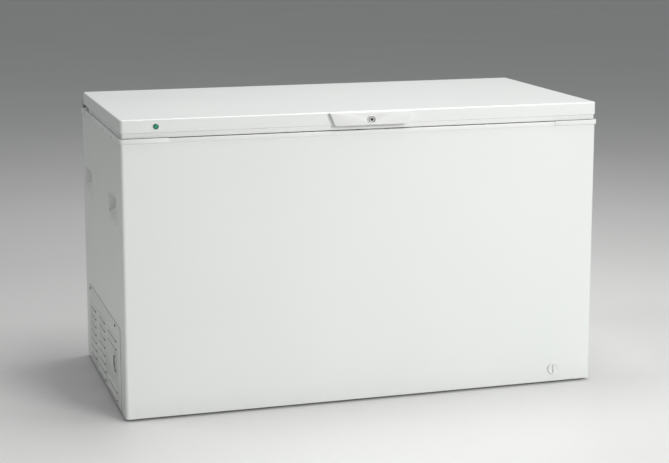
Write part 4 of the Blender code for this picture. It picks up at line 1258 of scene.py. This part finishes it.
@dataclass
class Grips(Assembly):
    """The recessed hand grips on both sides: a pocket over a ramp that runs out, with a bead between."""

    pocket_depth: float = 0.020
    ramp_depth: float = 0.0095
    bead: float = 0.0045
    wall: float = 0.0060
    proud: float = 0.0018
    corner: float = 0.016
    pocket: tuple[Span, ...] = (
        (-0.0675, 0.0370),
        (-0.0690, -0.0300),
        (-0.0640, -0.0385),
        (-0.0575, -0.0350),
        (-0.0480, 0.0150),
        (0.0670, -0.0180),
        (0.0670, 0.0370),
    )
    ramp: tuple[Span, ...] = (
        (-0.0600, -0.0380),
        (-0.0480, 0.0190),
        (0.0690, -0.0150),
        (0.0690, -0.0230),
    )

    def scoop(self, node: str) -> None:
        """Make one grip from its depth at every point.

        Args:
            node: The frame node that it replaces.
        """
        low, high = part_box(node)
        hub = centre(node)
        outward = 1 if hub.x > 0 else -1
        face = max(abs(low.x), abs(high.x)) - 0.003
        edge = rounded((low.y, high.y), (low.z, high.z), self.corner, 6)

        def along_edge(start: Span, end: Span, a: float) -> float:
            """Return the height at a of the line from start to end."""
            return start[1] + (end[1] - start[1]) * (a - start[0]) / (end[0] - start[0])

        def place(a: float, b: float, behind: float) -> Point:
            """Return a point of the grip's skin."""
            local = (a - hub.y, b - hub.z)
            rise = -0.0007 + (self.proud + 0.0007) * smooth((within(edge, (a, b)) + 0.001) / 0.005)
            foot = along_edge(self.ramp[0], self.ramp[3], local[0])
            crest = along_edge(self.ramp[1], self.ramp[2], local[0])
            slope = smooth((local[1] - foot) / max(crest - foot, 0.004))
            sunk = self.ramp_depth * slope * smooth(within(self.ramp, local) / 0.0012 + 0.5)
            pit = self.pocket_depth * smooth(within(self.pocket, local) / self.wall + 0.35)
            line = abs(local[1] - crest) / 0.0022
            along = min(local[0] + 0.050, 0.068 - local[0]) / 0.004
            bead = self.bead * (1 - smooth(line)) * smooth(along)
            return (outward * (face + rise - max(sunk, pit) + bead - behind), a, b)

        spans = ((low.y - 0.0005, high.y + 0.0005), (low.z - 0.0005, high.z + 0.0005))
        item = Shape().sheet(place, *spans, (140, 84), 0.0012).object(node + "_scoop")
        self.keep(shade(item, 80), MOULDED, node)

    def build(self) -> None:
        """Make the four scoops."""
        for side in ("front_left", "rear_left", "front_right", "rear_right"):
            self.scoop("hand_grip_" + side)


@dataclass
class Grille(Assembly):
    """The louvred cover over the machine space, with its control.

    Each group has its louvres' span along the side, the height of the lowest and their number.
    """

    groups: tuple[tuple[Span, float, int], ...] = (
        ((0.152, 0.280), 0.052, 7),
        ((-0.030, 0.104), 0.034, 8),
        ((-0.246, -0.070), 0.034, 2),
        ((-0.246, -0.070), 0.190, 2),
    )
    pitch: float = 0.026
    rise: float = 0.0042
    metal: float = 0.0008
    # Height of the black strip under each lip: painted shadow standing for the dark slot opening.
    over: Span = (-0.0042, 0.0086)
    slot: float = 0.0088

    def hood(self, name: str, spot: Span, height: float, count: int) -> None:
        """Press a row of louvres out of the cover, with a black strip of painted shadow under each lip.

        Args:
            name: The row's name.
            spot: Span of the louvres along the side.
            height: Middle of the lowest one's slot.
            count: How many there are.
        """
        face = span("vent_grille", 0)[0]

        def place(a: float, b: float, behind: float) -> Point:
            """Return a point of one louvre's hood."""
            along = spot[0] + (spot[1] - spot[0]) * a
            reach = min(along - spot[0], spot[1] - along) / 0.011
            ends = math.sqrt(max(1 - (1 - min(reach, 1.0)) ** 2, 0.0))
            out = self.rise * smooth(b) * ends - 0.0003
            drop = self.over[1] + (self.over[0] - self.over[1]) * b
            return (face - out + behind, along, height + drop)

        item = Shape().sheet(place, (0.0, 1.0), (0.0, 1.0), (36, 9), self.metal).object(name)
        values = {"Count": count, "Step": (0.0, 0.0, self.pitch)}
        self.keep(shade(grow(item, row_tree, ENAMEL_COVER, values), 60), ENAMEL_COVER)
        # Under each lip, a black strip of painted shadow stands for the dark slot opening and the shade
        # under the hood.
        lip = height + self.over[0]
        ends = (spot[0] + 0.012, spot[1] - 0.012)
        slot = Shape().box((face - 0.0004, face + 0.0003), ends, (lip - self.slot, lip))
        self.keep(grow(slot.object(name.replace("louvres", "slots")), row_tree, NYLON, values), NYLON)

    def control(self) -> None:
        """Make the control's cup, its black sleeve of painted shade on the cup's wall, its scale and its
        knob.
        """
        low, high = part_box("control_bezel")
        hub = centre("control_bezel")
        r, out, back = (high.z - low.z) / 2, low.x, high.x
        cup = r - 0.0075
        profile = [(0.0041, back), (cup + 0.0018, back), (cup + 0.002, back - 0.0015)]
        profile += [(cup + 0.002, out + 0.0016), (r - 0.0004, out + 0.0014), (r, out + 0.0010)]
        profile += [(r - 0.0001, out + 0.0005), (r - 0.0008, out), (r - 0.0025, out - 0.0003)]
        profile += [(cup + 0.0018, out - 0.0003), (cup + 0.0005, out + 0.0002), (cup, out + 0.0012)]
        profile += [(cup, back - 0.0032), (cup - 0.0012, back - 0.002), (0.0041, back - 0.002)]
        rings = [(arc((hub.y, hub.z), radius, 0, 354.375, 63), x) for radius, x in profile]
        bezel = Shape().loft("X", rings, closed=True).object("control_cup")
        self.keep(shade(bezel), MOULDED, "control_bezel")
        # The black sleeve on the cup's inner wall is painted shade for the dark gap round the knob.
        shaded_walls = [(cup, back - 0.0030), (cup, out + 0.0016), (cup - 0.0010, out + 0.0018)]
        shaded_walls += [(cup - 0.0010, back - 0.0030)]
        rings = [(arc((hub.y, hub.z), radius, 0, 354.375, 63), x) for radius, x in shaded_walls]
        shade_sleeve = Shape().loft("X", rings, closed=True).object("control_shade_sleeve")
        self.keep(shade(shade_sleeve), NYLON)
        tick = Shape().box((-0.00018, 0.00018), (-0.00035, 0.00035), (r - 0.0062, r - 0.0032))
        values = {"Count": 11, "Turn": math.radians(27.0)}
        ticks = grow(tick.object("control_scale"), ring_tree, NYLON, values)
        ticks.data.transform(Matrix.Rotation(math.radians(-135.0), 4, "X"))
        ticks.data.transform(Matrix.Translation((out - 0.0003, hub.y, hub.z)))
        self.keep(ticks, NYLON)
        self.refine("thermostat_knob", MOULDED, 0.9, 3, "thermostat_dial")
        self.refine("thermostat_body", ZINC, 0.8)

    def build(self) -> None:
        """Make the cover with its louvres and screws, and the control."""
        self.refine("vent_grille", ENAMEL_COVER, 0.4, 2)
        self.control()
        for index, (spot, height, count) in enumerate(self.groups, start=1):
            self.hood("louvres_%d" % index, spot, height, count)
        places = []
        for node in ("grille_screw_1", "grille_screw_2"):
            spot = centre(node)
            places.append((span("vent_grille", 0)[0], spot.y, spot.z))
        # The cover screws' nearly black heads are painted shade for their recesses.
        item = points_object("cover_screws", places)
        values = {"Head radius": 0.0045, "Head height": 0.0022, "Turn": (0.0, -math.pi / 2, 0.0)}
        screws = shade(grow(item, screw_tree, SCREWS_PAINTED_SHADE, values))
        self.keep(screws, SCREWS_PAINTED_SHADE, "grille_screw_1", "grille_screw_2")


@dataclass
class Machine(Assembly):
    """The compressor and its tubes, behind the louvres."""

    seam: float = 0.0030
    feet: Span = (0.075, 0.085)
    discharge: tuple[Point, ...] = (
        (0.0770, 0.0, 0.090),
        (0.0930, 0.0, 0.090),
        (0.1000, 0.060, 0.060),
        (0.1000, 0.120, 0.050),
        (0.1000, 0.145, 0.050),
        (0.1000, 0.145, 0.0600),
    )
    suction: tuple[Point, ...] = (
        (-0.020, 0.0775, 0.150),
        (-0.020, 0.112, 0.150),
        (0.010, 0.150, 0.180),
        (0.055, 0.198, 0.232),
        (0.090, 0.200, 0.240),
        (0.124, 0.200, 0.240),
    )

    def compressor(self) -> None:
        """Make the compressor's pressed shell, its weld and its feet."""
        low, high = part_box("compressor")
        hub = centre("compressor")
        r = (high.x - low.x) / 2
        z0, z1 = low.z, high.z
        body = r - self.seam
        profile = [(body * 0.55, z0)]
        profile += [(body * (0.62 + 0.33 * t), z0 + 0.012 * t * t) for t in (0.25, 0.5, 0.75, 1.0)]
        profile += [(body, z0 + 0.030), (body, z0 + 0.0875), (r - 0.0008, z0 + 0.0885)]
        profile += [(r, z0 + 0.0895), (r, z0 + 0.0955), (r - 0.0008, z0 + 0.0965)]
        profile += [(body, z0 + 0.0975), (body - 0.0005, z0 + 0.130)]
        for step in range(1, 10):
            turn = math.radians(9.0 * step)
            dome = z0 + 0.130 + (z1 - z0 - 0.130) * math.sin(turn)
            profile.append((body * (0.35 + 0.65 * math.cos(turn)), dome))
        shell = Shape().turned("Z", (hub.x, hub.y), profile, 72).object("compressor_shell")
        self.keep(shade(shell, 60), BLACK_ENAMEL, "compressor")
        self.refine("compressor_mount", ZINC, 0.5)
        self.refine("start_relay", NYLON, 1.6, 3)
        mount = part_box("compressor_mount")
        feet = Shape()
        for sx in (-1, 1):
            for sy in (-1, 1):
                spot = (hub.x + sx * self.feet[0], hub.y + sy * self.feet[1])
                top = mount[1].z
                ring = [(0.004, top), (0.010, top), (0.0115, top + 0.0015), (0.010, top + 0.0035)]
                ring += [(0.0115, top + 0.0055), (0.009, top + 0.008), (0.004, top + 0.009)]
                feet.turned("Z", spot, ring, 28)
        self.keep(shade(feet.object("compressor_grommets")), RUBBER)

    def tubes(self) -> None:
        """Make the drier and the smooth copper lines to it."""
        low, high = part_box("filter_drier")
        hub = centre("filter_drier")
        r = (high.x - low.x) / 2
        end = 0.0035
        profile = [(end, low.z), (end, low.z + 0.006)]
        profile += [(end + (r - end) * smooth(t / 6), low.z + 0.006 + 0.012 * t / 6) for t in range(1, 7)]
        profile += [(r, low.z + 0.030), (r - 0.0006, low.z + 0.032), (r, low.z + 0.034)]
        profile += [(r - (r - end) * smooth(t / 6), high.z - 0.018 + 0.012 * t / 6) for t in range(7)]
        profile += [(end, high.z)]
        drier = Shape().turned("Z", (hub.x, hub.y), profile, 36).object("drier")
        self.keep(shade(drier), COPPER, "filter_drier")
        spot = centre("compressor")
        route = [(spot.x + a, spot.y + b, c) for a, b, c in self.discharge]
        self.wire("discharge_tube", route, 2.8, COPPER, 9.0, sides=18, nodes=("discharge_line",))
        route = [(spot.x + a, spot.y + b, c) for a, b, c in self.suction]
        self.wire("suction_tube", route, 4.0, COPPER, 14.0, sides=18, nodes=("suction_line",))

    def build(self) -> None:
        """Make the machine, and dress the tubes and foam that nothing shows."""
        self.compressor()
        self.tubes()
        self.refine("cord_gland", NYLON, 0.7, 3)
        self.refine("drain_tube", MOULDED, 0.3)
        for node, finish in (
            ("condenser_coil", COPPER),
            ("evaporator_coil", COPPER),
            ("foam_insulation", FOAM),
            ("lid_foam", FOAM),
        ):
            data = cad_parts[node].data
            data.materials.clear()
            data.materials.append(finish.material())
            self.made.append(node)


@dataclass
class Drain(Assembly):
    """The drain's cap on the front and its plug in the tub."""

    def build(self) -> None:
        """Make the cap with its finger bar, and the plug with its pull."""
        low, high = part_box("drain_cap")
        hub = centre("drain_cap")
        r = (high.x - low.x) / 2
        face, back = low.y + 0.0036, span("cabinet_wrapper", 1)[0] - 0.0003
        bore = r - 0.0125
        profile = [(bore, high.y), (bore, back), (r - 0.0008, back), (r, back - 0.0008)]
        profile += [(r, face + 0.0014), (r - 0.0006, face + 0.0005), (r - 0.0018, face)]
        profile += [(r - 0.0040, face), (r - 0.0052, face + 0.0008), (0.002, face + 0.0008)]
        cap = Shape().turned("Y", (hub.x, hub.z), profile, 72).object("drain_disc")
        self.keep(shade(cap, 45), MOULDED, "drain_cap", body="drain_cap")
        bar = Shape().prism(
            "Y",
            rounded((hub.x - 0.0026, hub.x + 0.0026), (hub.z - 0.0138, hub.z + 0.0138), 0.0024, 6),
            (face + 0.0012, low.y),
        )
        self.keep(soften(bar.object("drain_bar"), 0.8, 3), MOULDED, body="drain_cap")
        low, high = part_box("drain_plug")
        hub = centre("drain_plug")
        r = (high.x - low.x) / 2
        floor = high.z - 0.012
        profile = [(0.0058, low.z), (0.0063, low.z + 0.001), (0.0066, floor + 0.0004)]
        profile += [(r - 0.0008, floor + 0.0004), (r, floor + 0.0012), (r, floor + 0.0026)]
        profile += [(r - 0.0012, floor + 0.0038), (0.0065, floor + 0.0042), (0.0046, floor + 0.006)]
        profile += [(0.0046, high.z - 0.003), (0.0052, high.z - 0.0016), (0.0040, high.z)]
        plug = Shape().turned("Z", (hub.x, hub.y), profile, 48).object("drain_stopper")
        self.keep(shade(plug, 50), RUBBER, "drain_plug", body="drain_plug")


@dataclass
class Basket(Assembly):
    """A hanging wire basket, its wires dipped in enamel."""

    rim_mm: float = 3.0
    wire_mm: float = 1.8
    long_wires: int = 6
    cross_wires: int = 14
    hook: Span = (0.2947, 0.8303)
    thick: float = 0.00175
    half_depth: float = 0.285
    rim_height: float = 0.790

    def build(self) -> None:
        """Bend the rim, the floor, the sides and the hooks."""
        node = self.body
        x, _, z = (span(node, axis) for axis in range(3))
        x0, x1 = x[0] + self.thick, x[1] - self.thick
        y1 = self.half_depth
        low, top = z[0] + self.thick, self.rim_height
        mid = (x0 + x1) / 2
        rim = [(x0, -y1, top), (x1, -y1, top), (x1, y1, top), (x0, y1, top)]
        self.wire(node + "_rim", rim, self.rim_mm, DIP_COAT, 14.0, ring=True, nodes=(node,))
        floor = [(a, b, low + 0.0035) for a, b, _ in rim]
        self.wire(node + "_floor", floor, 2.4, DIP_COAT, 14.0, ring=True)
        pitch = (top - low - 0.010) / 4
        band = [(a, b, low + pitch) for a, b, _ in rim]
        step = (0.0, 0.0, pitch)
        self.wire(node + "_bands", band, self.wire_mm, DIP_COAT, 14.0, 3, step, True)
        gap = 2 * y1 / (self.cross_wires + 1)
        path = [(x0, -y1 + gap, top), (x0, -y1 + gap, low)]
        path += [(x1, -y1 + gap, low), (x1, -y1 + gap, top)]
        step = (0.0, gap, 0.0)
        self.wire(node + "_cross", path, self.wire_mm, DIP_COAT, 9.0, self.cross_wires, step)
        gap = (x1 - x0) / (self.long_wires + 1)
        path = [(x0 + gap, -y1, top), (x0 + gap, -y1, low + 0.0034)]
        path += [(x0 + gap, y1, low + 0.0034), (x0 + gap, y1, top)]
        step = (gap, 0.0, 0.0)
        self.wire(node + "_long", path, self.wire_mm, DIP_COAT, 9.0, self.long_wires, step)
        for sign, name in ((-1, "_hook_front"), (1, "_hook_rear")):
            half = (x1 - x0) / 6
            rise = [(y1, top - 0.040), (y1, top), (self.hook[0], top + 0.013)]
            rise += [self.hook, (self.hook[0] + 0.0095, self.hook[1])]
            path = [(mid - half, sign * b, c) for b, c in rise]
            path += [(mid + half, sign * b, c) for b, c in reversed(rise)]
            self.wire(node + name, path, 2.2, DIP_COAT, 4.0)


@dataclass
class Hinge(Assembly):
    """One of the two spring hinges."""

    side: str = "left"
    coil: float = 0.0135

    def build(self) -> None:
        """Make the base, the arm, the pin and the spring."""
        side = self.side
        self.refine("hinge_base_" + side, ZINC, 0.35)
        self.refine("hinge_arm_" + side, ZINC, 0.35, 2, "lid")
        low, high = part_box("hinge_pin_" + side)
        hub = centre("hinge_pin_" + side)
        r = (high.z - low.z) / 2
        profile = [(r - 0.001, low.x), (r, low.x + 0.0009), (r, high.x - 0.0009), (r - 0.001, high.x)]
        pin = Shape().turned("X", (hub.y, hub.z), profile, 32).object("hinge_axle_" + side)
        self.keep(shade(pin), ZINC, "hinge_pin_" + side)
        sign = -1 if side == "left" else 1
        outer = max(abs(edge) for edge in span("hinge_arm_" + side, 0)) - 0.0015
        turns, steps = 5, 18
        path = []
        for i in range(turns * steps + 1):
            angle = 2 * math.pi * i / steps
            x = sign * (outer - self.coil * i / (turns * steps))
            path.append((x, hub.y + 0.0060 * math.cos(angle), hub.z + 0.0060 * math.sin(angle)))
        self.wire("hinge_coil_" + side, path, 1.0, ZINC, 0.4, sides=10)
        low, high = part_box("hinge_base_" + side)
        plate = high.y - 0.0045
        places = [(px, plate, pz) for px in (low.x + 0.010, high.x - 0.010) for pz in (0.748, 0.786)]
        self.screws("hinge_screws_" + side, places, (-math.pi / 2, 0.0, 0.0), 4.0, ZINC)


@dataclass
class Lid(Assembly):
    """The lid: its steel pan, formed inner panel, seal and lamp."""

    body: str = "lid"
    sheet: float = 0.0008
    corner: float = 0.010
    edge: float = 0.0040
    recess: tuple[Span, Span] = ((-0.0935, 0.1085), (0.8488, 0.8745))
    recess_depth: float = 0.004
    light_hole: float = 0.0083
    grooves_x: tuple[Span, Span] = ((-0.580, -0.16), (0.16, 0.580))
    groove_y: Span = (-0.205, 0.205)
    groove_corner: float = 0.030
    seal_width: float = 0.016
    seal_corner: float = 0.030

    def ring(self, distance: float, height: float) -> tuple[Outline, float]:
        """Return a ring of the lid's outline.

        Args:
            distance: How far it is set in.
            height: Its height.

        Returns:
            The outline and the height.
        """
        x, y = (span("lid_shell", axis) for axis in range(2))
        radius = max(self.corner - distance, 0.003)
        x = (x[0] + distance, x[1] - distance)
        y = (y[0] + distance, y[1] - distance)
        return rounded(x, y, radius, 12), height

    def shell(self) -> None:
        """Make the pan with a rounded top edge, and its cut-outs."""
        z0, z1 = span("lid_shell", 2)
        angles = [math.radians(9.0 * i) for i in range(11)]
        bend = [(self.edge * (1 - math.sin(a)), self.edge * (1 - math.cos(a))) for a in angles]
        rings = [self.ring(d, z1 - h) for d, h in bend] + [self.ring(0.0, z0)]
        rings += [self.ring(self.sheet, z0)]
        rings += [self.ring(d + self.sheet, z1 - h - self.sheet) for d, h in reversed(bend)]
        item = Shape().loft("Z", rings).object("lid_pan")
        front = span("lid_handle", 1)[0] + 0.012
        cut = (front - 0.02, front + self.recess_depth)
        inner = Shape().box(self.recess[0], cut, self.recess[1])
        light = centre("indicator_lens")
        hole = arc((light.x, light.z), self.light_hole, 0, 350, 35)
        carve(item, inner, Shape().prism("Y", hole, cut))
        self.keep(shade(item, 30), ENAMEL, "lid_shell")

    def panel(self) -> None:
        """Make the inner panel with shallow formed grooves."""
        self.refine("lid_lip", FORMED, 0.4, 3)
        item = soften(traced("lid_inner_panel", "lid_liner"), 0.4, 2)
        floor = span("lid_inner_panel", 2)[0]
        y = self.groove_y
        for x in self.grooves_x:
            outer = rounded(x, y, self.groove_corner)
            depths = (-0.001, 0.0011, 0.0011, -0.001)
            widths = (0.0, 0.004, 0.012, 0.016)
            rings = [(inset(outer, width), floor + depth) for width, depth in zip(widths, depths)]
            carve(item, Shape().loft("Z", rings, closed=True))
        self.keep(shade(item), FORMED, "lid_inner_panel")

    def seal(self) -> None:
        """Make the seal with its folds."""
        x, y, z = (span("lid_gasket", axis) for axis in range(3))
        depth = z[1] - z[0]
        side = [(0.0012, 0.0), (0.0, 0.06), (0.0004, 0.16), (0.0040, 0.30), (0.0046, 0.36)]
        side += [(0.0040, 0.42), (0.0010, 0.54), (0.0006, 0.60), (0.0012, 0.68), (0.0038, 0.80)]
        side += [(0.0030, 0.90), (0.0008, 0.96), (0.0014, 1.0)]
        loop = [(d, z[0] + t * depth) for d, t in reversed(side)]
        loop += [(self.seal_width - d, z[0] + t * depth) for d, t in side]
        rings = []
        for d, height in loop:
            outline = rounded((x[0] + d, x[1] - d), (y[0] + d, y[1] - d), self.seal_corner - d, 10)
            rings.append((outline, height))
        item = Shape().loft("Z", rings, closed=True).object("lid_seal")
        self.keep(shade(item, 60), SEAL, "lid_gasket")

    def light(self) -> None:
        """Make the power light: a domed lens in a thin ring."""
        low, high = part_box("indicator_lens")
        hub = centre("indicator_lens")
        r = (high.x - low.x) / 2
        profile = [(r - 0.0004, high.y), (r, high.y - 0.0004), (r, low.y + 0.0018)]
        for step in range(1, 9):
            turn = math.radians(10.5 * step)
            profile.append((r * math.cos(turn), low.y + 0.0018 - 0.0018 * math.sin(turn)))
        lens = Shape().turned("Y", (hub.x, hub.z), profile, 48).object("power_lens")
        self.keep(shade(lens, 60), GREEN_LENS, "indicator_lens")
        face = span("lid_shell", 1)[0]
        section = [(r + 0.0003, face), (r + 0.0003, face - 0.0007), (r + 0.0006, face - 0.0010)]
        section += [(r + 0.0013, face - 0.0009), (r + 0.0018, face)]
        rings = [(arc((hub.x, hub.z), radius, 0, 352.5, 47), t) for radius, t in section]
        ring = Shape().loft("Y", rings, closed=True).object("power_ring")
        self.keep(shade(ring), MOULDED)
        self.refine("indicator_housing", NYLON, 0.4)
        self.refine("lamp_housing", MOULDED, 0.5)
        self.refine("lamp_lens", FROSTED, 1.2, 4)

    def build(self) -> None:
        """Make the lid's pieces."""
        self.shell()
        self.panel()
        self.seal()
        self.light()


@dataclass
class Handle(Assembly):
    """The pull handle with its lock."""

    body: str = "lid"
    edge_mm: float = 2.2
    bore: float = 0.0094
    core_share: float = 0.52
    key_slot: Span = (0.0007, 0.0038)

    def turn_ring(
        self, name: str, hub: Vector, section: Sequence[Span], finish: Finish, *nodes: str, body: str = ""
    ) -> None:
        """Turn a ring about the lock's axis.

        Args:
            name: The ring's name.
            hub: A point on the axis.
            section: Radius and depth of each corner of its section.
            finish: Its finish.
            nodes: The frame nodes that it replaces.
            body: Its body, where that isn't the lid.
        """
        rings = [(arc((hub.x, hub.z), radius, 0, 354.375, 63), t) for radius, t in section]
        ring = Shape().loft("Y", rings, closed=True).object(name)
        self.keep(shade(ring), finish, *nodes, body=body)

    def build(self) -> None:
        """Make the handle, the lock's ring, its barrel and its cam; the barrel's black ring and black
        plug are painted shade.
        """
        self.refine("lid_handle", MOULDED, self.edge_mm, 3)
        self.refine("handle_housing", MOULDED, 0.3)
        low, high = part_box("lock_escutcheon")
        hub = centre("lock_escutcheon")
        r, bore = (high.x - low.x) / 2, self.bore
        # The lock's ring and collar are near-white nickel, their brightness partly painted reflection.
        section = [(bore, high.y), (r - 0.0006, high.y), (r, high.y - 0.0006), (r, low.y + 0.0014)]
        section += [(r - 0.0006, low.y + 0.0005), (r - 0.0020, low.y), (bore + 0.0010, low.y + 0.0004)]
        section += [(bore, low.y + 0.0012)]
        self.turn_ring("lock_ring", hub, section, NICKEL_WITH_PAINTED_REFLECTION, "lock_escutcheon")
        low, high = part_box("lock_barrel")
        r = (high.x - low.x) / 2
        # Black ring round the barrel: painted shade for the gap at the bore.
        section = [(r - 0.0012, high.y), (r, high.y), (r, low.y + 0.0038)]
        section += [(r - 0.0006, low.y + 0.0032), (r - 0.0012, low.y + 0.0034)]
        self.turn_ring("lock_shadow_ring", hub, section, NYLON, body="lock")
        core = r * self.core_share
        section = [(core, high.y), (r - 0.0014, high.y), (r - 0.0013, low.y + 0.0034)]
        section += [(r - 0.0016, low.y + 0.0022), (r - 0.0026, low.y + 0.0016)]
        section += [(core + 0.0012, low.y + 0.0018), (core, low.y + 0.0026)]
        self.turn_ring("lock_collar", hub, section, NICKEL_WITH_PAINTED_REFLECTION, "lock_barrel", body="lock")
        # Black plug in the barrel's middle: painted shade for the recess of the keyway.
        profile = [(core - 0.0002, high.y), (core - 0.0002, low.y + 0.0040)]
        profile += [(core - 0.0008, low.y + 0.0034), (0.001, low.y + 0.0034)]
        plug = Shape().turned("Y", (hub.x, hub.z), profile, 40).object("lock_plug_painted_shade")
        wide, tall = self.key_slot
        slot = Shape().box(
            (hub.x - wide, hub.x + wide), (low.y - 0.01, low.y + 0.012), (hub.z - tall, hub.z + tall)
        )
        carve(plug, slot)
        self.keep(shade(plug), NYLON, body="lock")
        self.refine("lock_cam", ZINC, 0.35, 2, "lock")


# ------------------------------------------------------------------ the set
@dataclass
class Studio:
    """A pale floor, soft light and the camera."""

    floor_size: float = 80.0
    place: Point = (-1.468, -4.877, 1.503)
    yaw: float = 16.84
    pitch: float = -9.58
    focal: float = 87.45
    shift: float = -0.0897
    sky: float = 0.26

    def floor(self) -> None:
        """Lay the floor: matt, pale, a little uneven in tone."""
        shape = Shape().box(
            (-self.floor_size, self.floor_size), (-self.floor_size, self.floor_size), (-0.02, 0.0)
        )
        item = shape.object("floor")
        finish = Finish(
            "pale_floor", Slot.ENAMEL, "E6E6E4", "E2E2E0", 900.0, 0.55, 0.05,
            grain_mm=3.0, grain_um=20.0,
        )
        item.data.materials.append(finish.material())

    def lamp(self, name: str, place: Point, target: Point, size: Span, watts: float) -> None:
        """Hang a soft box.

        Args:
            name: Its name.
            place: Where it hangs.
            target: What it points at.
            size: Its width and height.
            watts: Its power.
        """
        data = bpy.data.lights.new(name, "AREA")
        data.shape = "RECTANGLE"
        data.size, data.size_y = size
        data.energy = watts
        item = bpy.data.objects.new(name, data)
        item.location = place
        aim = Vector(target) - Vector(place)
        item.rotation_euler = aim.to_track_quat("-Z", "Y").to_euler()
        bpy.context.scene.collection.objects.link(item)

    def light(self) -> None:
        """Light the set: a key near the front, a soft top, a rim on the left and an even sky."""
        self.lamp("key", (2.2, -4.8, 2.8), (0.0, -0.3, 0.4), (2.4, 2.0), 160.0)
        self.lamp("top", (0.8, 0.0, 4.0), (0.1, 0.0, 0.8), (3.0, 2.2), 90.0)
        self.lamp("rim", (-2.0, 0.2, 4.0), (-0.74, 0.0, 0.5), (1.0, 1.0), 20.0)
        world = bpy.data.worlds.new("sky")
        world.use_nodes = True
        world.node_tree.nodes["Background"].inputs["Color"].default_value = linear("EEF0F2")
        world.node_tree.nodes["Background"].inputs["Strength"].default_value = self.sky
        bpy.context.scene.world = world

    def camera(self) -> None:
        """Set up the camera."""
        data = bpy.data.cameras.new("camera")
        data.lens = self.focal
        data.shift_y = self.shift
        item = bpy.data.objects.new("camera", data)
        item.location = self.place
        item.rotation_euler = (math.radians(90 + self.pitch), 0.0, math.radians(-self.yaw))
        bpy.context.scene.collection.objects.link(item)
        bpy.context.scene.camera = item

    def build(self) -> None:
        """Set the floor, the light and the camera."""
        self.floor()
        self.light()
        self.camera()
        bpy.context.scene.view_settings.view_transform = "Standard"


def main() -> None:
    """Build every assembly in order, then the set."""
    logging.basicConfig(level=logging.INFO, format="%(message)s")
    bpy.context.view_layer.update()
    assemblies = [
        Cabinet(),
        Collar(),
        Grips(),
        Grille(),
        Machine(),
        Drain(),
        Basket("basket_left"),
        Basket("basket_right"),
        Hinge(side="left"),
        Hinge(side="right"),
        Lid(),
        Handle(),
    ]
    for assembly in assemblies:
        assembly.build()
        log.info("%s: %s", type(assembly).__name__, ", ".join(assembly.made))
    Studio().build()


if __name__ == "__main__":
    main()
